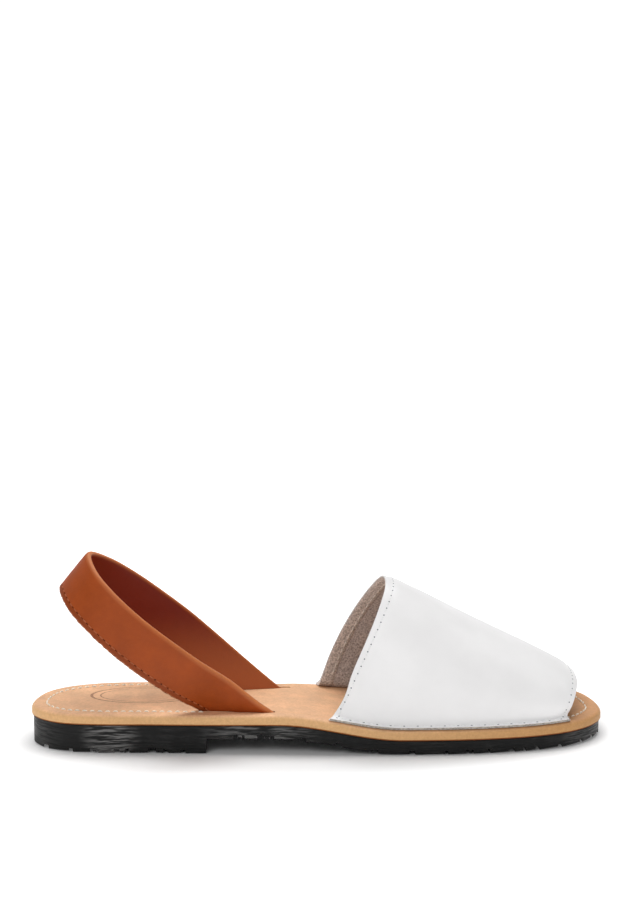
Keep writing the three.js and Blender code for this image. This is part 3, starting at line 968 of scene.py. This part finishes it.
def tan_leather(colours):
    """Vegetable-tanned lining leather over foam: pale tan, matt, browner where it is rolled round the rim."""
    material, tree, shader, place = new_material("tan_footbed_leather", 0.22)
    point = place.outputs["Object"]
    cloud, colour = mottled(
        tree, point, colours.footbed, 0.8, 0.35, 0.65, Scale=per_mm(11), Detail=6.0, Roughness=0.65
    )
    # The rim is where the surface turns down.
    shape = add_node(tree, "NewGeometry")
    up = add_node(tree, "SeparateXYZ", Vector=shape.outputs["True Normal"]).outputs["Z"]
    rim = add_node(tree, "MapRange", Value=up, From_Min=0.95, From_Max=0.4)
    colour = add_node(tree, "Mix", COLOURS, i0=rim, i6=colour, i7=tuple(colours.footbed_rim))
    # Where the rim turns under, over the rubber, it faces down, and painted shade darkens it to brown.
    downward_shade = add_node(tree, "MapRange", Value=up, From_Min=-0.05, From_Max=-0.3)
    # Towards the toe the leather is browner: partly its own darker tone, partly painted shade from the
    # upper's toe.
    spot = add_node(tree, "SeparateXYZ", Vector=point)
    far = add_node(tree, "MapRange", EASED, Value=spot.outputs["X"], From_Min=0.0, From_Max=0.12)
    # Fibres and creases about 1 mm wide, as a faint grain in the colour.
    fibre = add_node(tree, "TexNoise", Vector=point, Scale=per_mm(1.1), Detail=4.0, Roughness=0.7)
    faint = add_node(tree, "MapRange", Value=fibre, From_Min=0.35, From_Max=0.65, To_Min=0.35, To_Max=0.0)
    for share, tint in ((downward_shade, "#A8815F"), (far, "#E2D8C8"), (faint, "#C9BDB2")):
        colour = add_node(tree, "Mix", TINTS, i0=share, i6=colour, i7=linear(tint))
    # A plain double oval is printed on the heel seat; the ink is thin and lies only on the grain's crests.
    centre = add_node(tree, "Mapping", Vector=point, Location=(0.076, -0.001, 0), Scale=(1.0, 1.75, 0.0))
    away = add_node(tree, "VectorMath", {"operation": "LENGTH"}, i0=centre)
    wide, narrow = (
        add_node(tree, "Math", {"operation": "COMPARE"}, i0=away, i1=radius, i2=width)
        for radius, width in ((23.5 * MM, 0.65 * MM), (19.5 * MM, 0.35 * MM))
    )
    rings = add_node(tree, "Math", {"operation": "MAXIMUM"}, i0=wide, i1=narrow)
    ink = add_node(tree, "TexNoise", Vector=point, Scale=per_mm(1.2), Detail=3.0)
    cover = add_node(tree, "MapRange", Value=ink, From_Min=0.35, From_Max=0.6, To_Min=0.45, To_Max=0.85)
    inked = add_node(tree, "Math", {"operation": "MULTIPLY"}, i0=rings, i1=cover)
    upward = add_node(tree, "Math", {"operation": "GREATER_THAN"}, i0=up, i1=0.9)
    printed = add_node(tree, "Math", {"operation": "MULTIPLY"}, i0=inked, i1=upward)
    colour = add_node(tree, "Mix", COLOURS, i0=printed, i6=colour, i7=tuple(colours.mark))
    gloss = add_node(tree, "MapRange", Value=cloud, From_Min=0.3, From_Max=0.7, To_Min=0.5, To_Max=0.65)
    pores = add_node(tree, "TexNoise", Vector=point, Scale=per_mm(0.6), Detail=3.0)
    bump = add_node(tree, "Bump", Height=pores, Strength=0.25, Distance=0.1 * MM)
    drive(tree, shader, colour, gloss, bump)
    return material


def black_rubber(colours):
    """Vulcanised black rubber with ground sides: satin, with fine uneven lines along the wall."""
    material, tree, shader, place = new_material("ground_black_rubber", 0.22)
    point = place.outputs["Object"]
    # Lines 0.75 mm high and about 9 mm long, level with the sheet, bent by a slow noise.
    bend = add_node(tree, "TexNoise", Vector=point, Scale=per_mm(16), Detail=1.0)
    swell = add_node(tree, "VectorMath", {"operation": "SCALE"}, i0=bend.outputs["Color"], Scale=1.6 * MM)
    bent = add_node(tree, "VectorMath", {"operation": "ADD"}, i0=point, i1=swell)
    stretched = add_node(tree, "Mapping", Vector=bent, Scale=(0.08, 0.08, 1.0))
    lines = add_node(tree, "TexNoise", Vector=stretched, Scale=per_mm(0.75), Detail=2.0, Roughness=0.6)
    # Dust stands grey on the lines' crests here and there, and painted highlights stand grey on them at the
    # listed patches.
    dust = add_node(tree, "TexNoise", Vector=point, Scale=per_mm(9), Detail=4.0)
    dust_and_highlight = add_node(tree, "MapRange", Value=dust, From_Min=0.45, From_Max=0.7, To_Min=0.0, To_Max=0.15)
    for centre, core, reach, strength in HIGHLIGHT_PATCHES:
        from_patch = add_node(tree, "VectorMath", {"operation": "DISTANCE"}, i0=point, i1=centre)
        highlight_patch = add_node(
            tree, "MapRange", EASED, Value=from_patch, From_Min=core, From_Max=reach, To_Min=strength, To_Max=0.0
        )
        dust_and_highlight = add_node(tree, "Math", {"operation": "MAXIMUM"}, i0=dust_and_highlight, i1=highlight_patch)
    crest = add_node(tree, "MapRange", Value=lines, From_Min=0.44, From_Max=0.6)
    crest_dust_and_highlight = add_node(tree, "Math", {"operation": "MULTIPLY"}, i0=dust_and_highlight, i1=crest)
    colour = add_node(tree, "Mix", COLOURS, i0=crest_dust_and_highlight, i6=tuple(colours.rubber), i7=linear("#6A6968"))
    gloss = add_node(tree, "MapRange", Value=dust, From_Min=0.3, From_Max=0.7, To_Min=0.4, To_Max=0.55)
    bump = add_node(tree, "Bump", Height=lines, Strength=0.9, Distance=0.5 * MM)
    drive(tree, shader, colour, gloss, bump)
    return material


def sewing_thread(name, base):
    """Twisted polyester thread: slightly glossy, with its plies as fine slanting lines."""
    material, tree, shader, place = new_material(name, 0.3)
    # The plies are drawn 0.5 mm wide so that they show at all.
    twist, colour = mottled(
        tree, place.outputs["Object"], base, 0.8, 0.35, 0.65, Scale=per_mm(0.5), Detail=2.0
    )
    rough = add_node(tree, "MapRange", Value=twist, To_Min=0.5, To_Max=0.7)
    bump = add_node(tree, "Bump", Height=twist, Strength=0.4, Distance=0.1 * MM)
    drive(tree, shader, colour, rough, bump)
    return material


def needle_hole(name, base):
    """Painted shade at the bottom of a needle hole: the leather's colour darkened, and matt."""
    material, tree, shader, place = new_material(name, 0.1)
    speck, colour = mottled(tree, place.outputs["Object"], base, 0.6, 0.0, 1.0, Scale=per_mm(0.4))
    rough = add_node(tree, "MapRange", Value=speck, To_Min=0.85, To_Max=1.0)
    bump = add_node(tree, "Bump", Height=speck, Strength=0.3, Distance=0.1 * MM)
    drive(tree, shader, colour, rough, bump)
    return material


def pale_paper(colours):
    """Seamless background paper: pale and dead matt, lit so that it glows evenly away from the object."""
    material, tree, shader, place = new_material("pale_background_paper", 0.0)
    point = place.outputs["Object"]
    shader.inputs["Roughness"].default_value = 1.0
    _, colour = mottled(tree, point, colours.floor, 0.99, 0.0, 1.0, Scale=per_mm(40))
    tree.links.new(result(colour), shader.inputs["Base Color"])
    # One step of the glow follows the sole's outline as an oval, the other lies far out.
    oval = add_node(tree, "Mapping", Vector=point, Scale=(1 / 0.17, 1 / 0.09, 0.0))
    near, far = (add_node(tree, "VectorMath", {"operation": "LENGTH"}, i0=way) for way in (oval, point))
    inner, outer = (
        add_node(tree, "MapRange", EASED, Value=away, From_Min=start, From_Max=end, To_Max=strength)
        for away, start, end, strength in ((near, 0.56, 1.1, 0.62), (far, 0.25, 1.5, 0.7))
    )
    glow = add_node(tree, "Math", {"operation": "ADD"}, i0=inner, i1=outer)
    shader.inputs["Emission Color"].default_value = (1.0, 1.0, 1.0, 1.0)
    tree.links.new(result(glow), shader.inputs["Emission Strength"])
    return material


def make_stitch(thread, length):
    """One stitch along X: a soft strand that dips into its two holes."""
    bpy.ops.object.select_all(action="DESELECT")
    bpy.ops.mesh.primitive_cylinder_add(
        vertices=8, radius=thread / 2, depth=length, end_fill_type="NGON", rotation=(0, math.pi / 2, 0)
    )
    stitch = bpy.context.object
    bpy.ops.object.transform_apply(location=True, rotation=True, scale=True)
    bpy.ops.object.mode_set(mode="EDIT")
    for share in (-0.4, -0.25, 0.0, 0.25, 0.4):
        bpy.ops.mesh.select_all(action="SELECT")
        bpy.ops.mesh.bisect(plane_co=(share * length, 0, 0), plane_no=(1, 0, 0))
    bpy.ops.object.mode_set(mode="OBJECT")
    for point in stitch.data.vertices:
        away = abs(point.co.x) / (length / 2)
        point.co.y *= 1 - 0.35 * away**3
        point.co.z = point.co.z * (1 - 0.35 * away**3) + thread * (0.2 - 0.75 * away**3)
    return stitch


def make_hole(radius):
    """One needle hole: a low dish, for painted shade, whose rim lies just proud of the surface."""
    bpy.ops.object.select_all(action="DESELECT")
    bpy.ops.mesh.primitive_cylinder_add(vertices=10, radius=radius, depth=0.4 * MM, end_fill_type="NGON")
    hole = bpy.context.object
    edit_top_face(hole)
    bpy.ops.mesh.inset(thickness=radius * 0.35, depth=-0.03 * MM)
    bpy.ops.object.mode_set(mode="OBJECT")
    for point in hole.data.vertices:
        point.co.z -= 0.14 * MM
    return hole


def sew(name, shares, surface, stitch, hole, thread_material, hole_material, slot, stretch=1.0):
    """Lays stitches and holes along a row. surface(share) gives a point and the direction out of it. Holes
    can be stretched along the row, as a leather awl leaves them."""
    stitches, holes = [], []
    for i, share in enumerate(shares):
        p, out = surface(share)
        before, after = (surface(shares[min(max(i + k, 0), len(shares) - 1)])[0] for k in (-1, 1))
        holes.append(standing(p, after - before, out, (stretch, 1 / stretch, 1.0)))
        if i + 1 < len(shares):
            q, next_out = surface(shares[i + 1])
            stitches.append(standing((p + q) / 2, q - p, out + next_out))
    thread = copies_of(name + "_stitches", stitch, stitches)
    finish_piece(thread, thread_material, slot, 60)
    if hole is not None:
        dots = copies_of(name + "_holes", hole, holes)
        finish_piece(dots, hole_material, slot, 40)


class RubberSoleOperator(bpy.types.Operator):
    """Model the rubber outsole with its heel block and tread"""

    bl_idname = "sandal.rubber_sole"
    bl_label = "Rubber outsole"

    def execute(self, context):
        sole = context.scene.sandal_sole
        plan = SolePlan(sole)
        step = plan.heel_end + sole.heel_length

        def rise(p, heel):
            return plan.ground_rise(p.x)

        grooves = [plan.x_at(along) for along, _ in TREAD_ROWS]

        def under(p, heel):
            worn = 0.1 * MM * (1 + noise.noise(p / (5 * MM)))
            lug = bisect_right(grooves, p.x)
            if 0 < lug < len(grooves):
                worn += LUG_SLANT * (p.x - grooves[lug - 1]) / (grooves[lug] - grooves[lug - 1])
            return worn + (0.0 if heel else rise(p, heel))

        def top(p, heel):
            return rise(p, heel) + sole.rubber_thickness

        def wall(low, high, share):
            return lambda p, heel: mix(low(p, heel), high(p, heel), share)

        def block_foot(p, heel):
            return under(p, heel) + sole.rubber_bevel

        def sheet_foot(p, heel):
            return rise(p, heel) + 2 * sole.rubber_bevel

        inset, deep = sole.rubber_inset, 8 * MM
        profile = [(deep, share, under) for share in (1, 0.75, 0.5, 0.25, 0)]
        profile += [(4 * MM, 0, under), (inset + sole.rubber_bevel, 0, under)]
        profile += [(inset, 0, wall(block_foot, sheet_foot, k / 5)) for k in range(5)]
        profile += [(inset, 0, wall(sheet_foot, top, k / 5)) for k in range(6)]
        profile += [(3 * MM, 0, top), (deep, 0, top), (deep, 0.5, top), (deep, 1, top)]
        rubber = wrapped_slab("rubber_outsole", plan, plan.stations(step), profile)
        for cutter in self.tread_cutters(sole, plan):
            apply_boolean(rubber, cutter)
        finish_piece(rubber, black_rubber(context.scene.sandal_colours), "outsole_rubber", 35, "outsole")
        return {"FINISHED"}

    def tread_cutters(self, sole, plan):
        """The bars across the tread and the lengthwise bar, narrower towards the bottom of the groove."""
        bpy.ops.object.select_all(action="DESELECT")
        bpy.ops.mesh.primitive_cube_add(size=1)
        bar = bpy.context.object
        edit_top_face(bar)
        bpy.ops.transform.resize(value=(BAR_TAPER, 1, 1))
        bpy.ops.object.mode_set(mode="OBJECT")
        bars = []
        for along, width in TREAD_ROWS:
            for shift, share, deep in WIDE_GROOVE_PARTS if width > WIDE_GROOVE else ((0.0, 1.0, 1.0),):
                x = plan.x_at(along + shift * width)
                floor = 0.0 if x < plan.heel_end + sole.heel_length else plan.ground_rise(x)
                pivot = plan.side_point(-1, x)
                turn = Matrix.Rotation(BAR_LEAN * math.sin(9 * along), 4, "Z")
                depth = sole.tread_depth * deep * (1 + 0.25 * noise.noise(Vector((along * 40, shift, 0))))
                length = width * share * sole.length * BAR_MOUTH
                size = Matrix.Diagonal((length, BAR_REACH * sole.width, 2 * depth, 1))
                bars.append(Matrix.Translation((pivot.x, pivot.y, floor)) @ turn @ size)
        cross = copies_of("tread_bars", bar, bars)
        centre = Matrix.Translation((0, plan.middle, 0))
        turned = Matrix.Rotation(math.pi / 2, 4, "Z")
        size = Matrix.Diagonal((sole.centre_groove * BAR_MOUTH, 2 * sole.length, 2 * sole.tread_depth, 1))
        length = copies_of("tread_centre", bar, [centre @ turned @ size])
        bpy.data.objects.remove(bar)
        return [cross, length]


class HeelStrapOperator(bpy.types.Operator):
    """Model the folded heel strap"""

    bl_idname = "sandal.heel_strap"
    bl_label = "Heel strap"

    def execute(self, context):
        scene = context.scene
        plan = SolePlan(scene.sandal_sole)
        loop = StrapLoop(scene.sandal_strap, plan)
        band = strap_band("heel_strap_leather", loop, 0.0)
        slice_off(band, (0, 0, loop.end_height), (0, 0, -1))
        finish_piece(band, brown_leather(scene.sandal_colours), "strap_leather", 50, "heel_strap")
        return {"FINISHED"}


def strap_band(name, loop, grow):
    """The closed band, with its tails run on below the sole; grow makes it larger all round."""
    section = list(STRAP_SECTION) + [(-n, w) for n, w in STRAP_SECTION[-2:0:-1]]
    total = loop.lengths[-1]

    def place(column, row):
        distance = mix(-loop.tail, total + loop.tail, column / STRAP_SAMPLES)
        n, w = section[row % len(section)]
        fray = 0.0
        if w < -0.45 and grow == 0:
            fray = 0.014 * noise.noise(Vector((distance / (1.4 * MM), 2 * n, 0)))
        return loop.section_point(distance, n, w + fray, grow)

    band = shaped_grid(name, STRAP_SAMPLES, len(section), place)
    close_up(band)
    return band


class FootbedOperator(bpy.types.Operator):
    """Model the leather-wrapped footbed with its seam groove and its two slits"""

    bl_idname = "sandal.footbed"
    bl_label = "Footbed"

    def execute(self, context):
        scene = context.scene
        sole, seams = scene.sandal_sole, scene.sandal_seams
        plan = SolePlan(sole)
        thick, roll = sole.footbed_thickness, sole.footbed_roll

        def level(lift):
            return lambda p, flag: plan.footbed_bottom(p.x) + lift

        deep = 9 * MM
        profile = [(deep, share, level(0)) for share in (1, 0.5, 0)]
        profile += [(3 * MM, 0, level(0)), (0.7 * MM, 0, level(0)), (0.22 * MM, 0, level(0.2 * MM))]
        profile += [(0, 0, level(lift * MM)) for lift in (0.7, 1.6)]
        for degrees in range(0, 91, 15):
            angle = math.radians(degrees)
            profile.append((roll * (1 - math.cos(angle)), 0, level(thick - roll * (1 - math.sin(angle)))))
        for inset in GROOVE_INSETS:
            away = (inset * MM - seams.footbed_inset) / GROOVE_HALF_WIDTH
            profile.append((inset * MM, 0, level(thick - GROOVE_DEPTH * math.exp(-away * away))))
        profile += [(deep, share, level(thick)) for share in (0, 0.12, 0.25, 0.4, 0.55, 0.7, 0.85, 1)]
        footbed = wrapped_slab("footbed_leather", plan, plan.stations(), profile)
        loop = StrapLoop(scene.sandal_strap, plan)
        cutter = strap_band("slit_cutter", loop, scene.sandal_strap.slit_clearance)
        slice_off(cutter, (0, 0, loop.end_height - 5 * MM), (0, 0, -1))
        apply_boolean(footbed, cutter)
        apply_boolean(footbed, self.slit_end(plan, loop))
        finish_piece(footbed, tan_leather(scene.sandal_colours), "footbed_leather", 35, "footbed")
        return {"FINISHED"}

    def slit_end(self, plan, loop):
        """Cutter for the part of the inner slit that runs on past the strap's fold, towards the toe."""
        total = loop.lengths[-1]

        def crossing(up_share):
            """Where the line at this height of the band meets the footbed's top."""
            distances = [total - k * 0.25 * MM for k in range(-80, 160)]
            points = [loop.section_point(d, 0.0, up_share) for d in distances]
            return min(points, key=lambda p: abs(p.z - plan.footbed_top(p.x)))

        fold, middle = crossing(0.5), crossing(0.0)
        way = (fold - middle).to_2d().to_3d().normalized()
        bpy.ops.object.select_all(action="DESELECT")
        bpy.ops.mesh.primitive_cube_add(
            size=1,
            location=fold + way * SLIT_END_SHIFT,
            rotation=(0, 0, math.atan2(way.y, way.x)),
            scale=SLIT_END,
        )
        cutter = bpy.context.object
        bpy.ops.object.transform_apply(location=True, rotation=True, scale=True)
        return cutter


class UpperOperator(bpy.types.Operator):
    """Model the upper, its suede lining and the edging inside the collar"""

    bl_idname = "sandal.upper"
    bl_label = "Upper"

    def execute(self, context):
        scene = context.scene
        shell = UpperShell(scene.sandal_upper, SolePlan(scene.sandal_sole))
        self.leather(scene.sandal_colours, shell)
        self.edging(scene, shell)
        return {"FINISHED"}

    def leather(self, colours, shell):
        """Both faces and all edges as one closed skin."""
        columns = list(range(shell.last + 1))
        outer, inner, edge = 0, 1, 2
        ring = [(outer, j) for j in columns] + [(edge, shell.last)]
        ring += [(inner, j) for j in reversed(columns)] + [(edge, 0)]
        first_rows = [(0, share, -push) for share, push in RIM_ROWS]
        last_rows = [(UPPER_ROWS, share, push) for share, push in reversed(RIM_ROWS)]
        rows = first_rows + [(i, 0.0, 0.0) for i in range(UPPER_ROWS + 1)] + last_rows

        def place(column, row):
            face, j = ring[column % len(ring)]
            i, share, push = rows[row]
            faces = shell.outer[i][j], shell.inner[i][j]
            middle = (faces[0] + faces[1]) / 2
            low = 0 if i == 0 else UPPER_ROWS - 1
            along = (shell.inner[low + 1][j] - shell.inner[low][j]).normalized()
            p = middle if face == edge else faces[face].lerp(middle, share)
            if face == edge:
                side = shell.plan.side_point(-1 if j == 0 else 1, p.x)
                p = p + (side - p).to_2d().to_3d().normalized() * 0.15 * MM
            return p + along * push

        piece = shaped_grid("upper_leather", len(ring), len(rows) - 1, place)
        for material in (
            white_leather(colours),
            suede_lining("grey_suede_lining", colours.lining),
            cut_leather_edge("white_leather_edge", colours.upper, 0.12),
            cut_leather_edge("grey_leather_edge", colours.cut_edge, 0.5),
        ):
            piece.data.materials.append(material)
        white, suede, white_edge, grey_edge = range(4)
        rims = len(RIM_ROWS)
        for index, face in enumerate(piece.data.polygons):
            row, column = divmod(index, len(ring))
            if column < shell.last:
                finish = white
            elif shell.last + 1 < column < 2 * shell.last + 2:
                finish = suede
            else:
                finish = grey_edge
            rim = row < rims or row >= len(rows) - 1 - rims
            face.material_index = white_edge if rim and finish != grey_edge else finish
        close_up(piece)
        finish_piece(piece, None, "upper_leather", 50, "upper")

    def edging(self, scene, shell):
        """The suede strip that covers the lining's edge inside the collar."""
        colours, width = scene.sandal_colours, scene.sandal_upper.edging_width
        rows = 8
        first = FLANGE_COLUMNS
        columns = shell.last - 2 * first

        def place(column, row):
            j = first + column
            s = shell.share_at(mix(0.3 * MM, width, row / rows), j)
            p, out = shell.at(shell.inner, s, j)
            lift = 0.3 * MM if 0 < row < rows else 0.02 * MM
            return p - out * lift

        strip = shaped_grid("collar_edging", columns, rows, place)
        select_only(strip)
        wall = strip.modifiers.new("Wall", "SOLIDIFY")
        wall.thickness = 0.4 * MM
        wall.offset = 1
        bpy.ops.object.modifier_apply(modifier=wall.name)
        close_up(strip)
        finish_piece(strip, suede_lining("pale_suede_edging", colours.edging), "upper_leather", 40)


class SeamsOperator(bpy.types.Operator):
    """Sew the seams of the footbed, the upper and the strap"""

    bl_idname = "sandal.seams"
    bl_label = "Seams"

    def execute(self, context):
        scene = context.scene
        self.seams, self.colours = scene.sandal_seams, scene.sandal_colours
        self.plan = SolePlan(scene.sandal_sole)
        self.footbed_seams(scene)
        self.upper_seams(scene)
        self.strap_seams(scene)
        return {"FINISHED"}

    def footbed_seams(self, scene):
        seams, plan = self.seams, self.plan
        material = sewing_thread("cream_sewing_thread", self.colours.cream_thread)
        stitch = make_stitch(seams.thread * 1.3, seams.footbed_pitch * 0.72)

        def ring(tip, far):
            """Line along the seam, from the outer side round one end to the inner side."""

            def line(share):
                side = -1 if share < 0.5 else 1
                turn = abs(share - 0.5) * 2
                x = mix(tip, far, 1 - math.cos(turn * math.pi / 2))
                return plan.side_point(side, x, seams.footbed_inset)

            return line

        for name, tip, far in (("footbed_heel", 0, HEEL_SEAM_END), ("footbed_toe", 1, TOE_SEAM_END)):
            line = ring(plan.x_at(tip), plan.x_at(far))

            def surface(share, line=line):
                p = line(share)
                p.z = plan.footbed_top(p.x) - 0.05 * MM
                return p, Vector((0, 0, 1))

            shares = even_shares(line, seams.footbed_pitch)
            sew(name, shares, surface, stitch, None, material, None, "footbed_leather")
        bpy.data.objects.remove(stitch)

    def upper_seams(self, scene):
        seams = self.seams
        shell = UpperShell(scene.sandal_upper, self.plan)
        thread = sewing_thread("white_sewing_thread", self.colours.white_thread)
        dark = needle_hole("white_leather_hole_shade", linear("#6F747C"))
        stitch = make_stitch(seams.thread * TIGHT, seams.edge_pitch * STITCH_SHARE)
        long_stitch = make_stitch(seams.thread * TIGHT, seams.flange_pitch * 0.8)
        hole = make_hole(UPPER_HOLE)
        start, end = 5 / shell.last, 1 - 5 / shell.last

        def collar(share):
            column = share * shell.last
            return shell.collar_seam(seams.collar_inset, column), column

        def toe(share):
            column = share * shell.last
            return 1 - shell.share_at(seams.toe_inset, column), column

        flange_column = seams.flange_inset / COLUMN_WIDTH

        def outer_flange(share):
            return share, flange_column

        def inner_flange(share):
            return share, shell.last - flange_column

        for name, row, ends, pitch, model, stretch in (
            ("collar_seam", collar, (start, end), seams.edge_pitch, stitch, 1.0),
            ("toe_seam", toe, (1.3 * start, end), seams.edge_pitch, stitch, 1.0),
            ("outer_flange_seam", outer_flange, FLANGE_SEAM, seams.flange_pitch, long_stitch, 1.5),
            ("inner_flange_seam", inner_flange, FLANGE_SEAM, seams.flange_pitch, long_stitch, 1.5),
        ):
            def surface(share, row=row):
                return shell.at(shell.outer, *row(share))

            shares = even_shares(lambda share: surface(share)[0], pitch, *ends)
            sew(name, shares, surface, model, hole, thread, dark, "upper_leather", stretch)
        lining_thread = sewing_thread("beige_sewing_thread", linear("#E4DACE"))
        lining_stitch = make_stitch(seams.thread, seams.edge_pitch * STITCH_SHARE)

        def inner_surface(share):
            column = share * shell.last
            s = shell.share_at(scene.sandal_upper.edging_width - 1.1 * MM, column)
            p, out = shell.at(shell.inner, s, column)
            return p - out * 0.72 * MM, -out

        shares = even_shares(lambda share: inner_surface(share)[0], seams.edge_pitch, 0.07, 0.93)
        sew("lining_seam", shares, inner_surface, lining_stitch, None, lining_thread, None, "upper_leather")
        for model in (stitch, long_stitch, lining_stitch, hole):
            bpy.data.objects.remove(model)

    def strap_seams(self, scene):
        seams = self.seams
        strap = scene.sandal_strap
        loop = StrapLoop(strap, self.plan)
        thread = sewing_thread("brown_sewing_thread", self.colours.brown_thread)
        dark = needle_hole("brown_leather_hole_shade", linear("#260B03"))
        stitch = make_stitch(seams.thread * TIGHT, seams.edge_pitch * STITCH_SHARE)
        hole = make_hole(STRAP_HOLE)
        height = seams.strap_inset / strap.width - 0.5
        total = loop.lengths[-1]
        for name, side in (("strap_outer_seam", 1), ("strap_inner_seam", -1)):
            def surface(share, side=side):
                distance = share * total
                out = loop.axes(distance)[2]
                return loop.section_point(distance, side * SEAM_OUT, height), out * side

            shares = even_shares(lambda share: surface(share)[0], seams.edge_pitch, *STRAP_SEAM)
            sew(name, shares, surface, stitch, hole, thread, dark, "strap_leather")
        for model in (stitch, hole):
            bpy.data.objects.remove(model)


class StageOperator(bpy.types.Operator):
    """Add the pale floor, the studio lights and the camera"""

    bl_idname = "sandal.stage"
    bl_label = "Floor, lights and camera"

    def execute(self, context):
        scene = context.scene
        bpy.ops.object.select_all(action="DESELECT")
        bpy.ops.mesh.primitive_circle_add(vertices=96, radius=20, fill_type="NGON")
        floor = bpy.context.object
        floor.name = "paper_floor"
        floor.data.materials.append(pale_paper(scene.sandal_colours))
        scene.view_settings.view_transform = "Standard"
        world = bpy.data.worlds.new("studio")
        scene.world = world
        world.use_nodes = True
        self.light_walls(world.node_tree)
        for name, place, size, energy in SOFTBOXES:
            bpy.ops.object.light_add(type="AREA", location=place)
            light = bpy.context.object
            light.name = name
            light.data.shape = "SQUARE"
            light.data.size = size
            light.data.energy = energy
            light.rotation_euler = (AIM - light.location).to_track_quat("-Z", "Y").to_euler()
        way = Matrix.Rotation(CAMERA_AZIMUTH, 3, "Z") @ Matrix.Rotation(-CAMERA_HEIGHT, 3, "X")
        eye = CAMERA_TARGET + way @ Vector((0, -CAMERA_DISTANCE, 0))
        bpy.ops.object.camera_add(location=eye, rotation=CAMERA_TURN)
        camera = bpy.context.object
        camera.name = "photo_camera"
        camera.data.lens = CAMERA_LENS
        camera.data.sensor_width = 36
        camera.data.clip_end = 60
        scene.camera = camera
        return {"FINISHED"}

    def light_walls(self, tree):
        """Studio walls: white low down, where the floor runs into them, and dimmer higher up."""
        back = tree.nodes["Background"]
        back.inputs["Color"].default_value = (1.0, 1.0, 1.0, 1.0)
        way = add_node(tree, "TexCoord")
        height = add_node(tree, "SeparateXYZ", Vector=way.outputs["Generated"])
        up = height.outputs["Z"]
        wall = add_node(
            tree, "MapRange", EASED, Value=up, From_Min=0.04, From_Max=0.3, To_Min=1.05, To_Max=0.28
        )
        tree.links.new(result(wall), back.inputs["Strength"])


class SandalPanel(bpy.types.Panel):
    """Lists the pieces and their sizes"""

    bl_idname = "VIEW3D_PT_sandal"
    bl_label = "Flat sandal"
    bl_space_type = "VIEW_3D"
    bl_region_type = "UI"
    bl_category = "Sandal"

    def draw(self, context):
        for operator in OPERATORS:
            self.layout.operator(operator.bl_idname)
        for name in SETTINGS:
            group = getattr(context.scene, name)
            box = self.layout.box()
            for key in group.__annotations__:
                box.prop(group, key)


SETTINGS = {
    "sandal_sole": SandalSole,
    "sandal_upper": SandalUpper,
    "sandal_strap": SandalStrap,
    "sandal_seams": SandalSeams,
    "sandal_colours": SandalColours,
}
OPERATORS = (
    StageOperator,
    RubberSoleOperator,
    FootbedOperator,
    HeelStrapOperator,
    UpperOperator,
    SeamsOperator,
)


def register():
    for group in SETTINGS.values():
        bpy.utils.register_class(group)
    for name, group in SETTINGS.items():
        setattr(bpy.types.Scene, name, bpy.props.PointerProperty(type=group))
    for operator in OPERATORS:
        bpy.utils.register_class(operator)
    bpy.utils.register_class(SandalPanel)


def unregister():
    bpy.utils.unregister_class(SandalPanel)
    for operator in reversed(OPERATORS):
        bpy.utils.unregister_class(operator)
    for name in SETTINGS:
        delattr(bpy.types.Scene, name)
    for group in reversed(SETTINGS.values()):
        bpy.utils.unregister_class(group)


def main():
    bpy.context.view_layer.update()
    register()
    bpy.ops.sandal.stage()
    bpy.ops.sandal.rubber_sole()
    bpy.ops.sandal.footbed()
    bpy.ops.sandal.heel_strap()
    bpy.ops.sandal.upper()
    bpy.ops.sandal.seams()


if __name__ == "__main__":
    main()
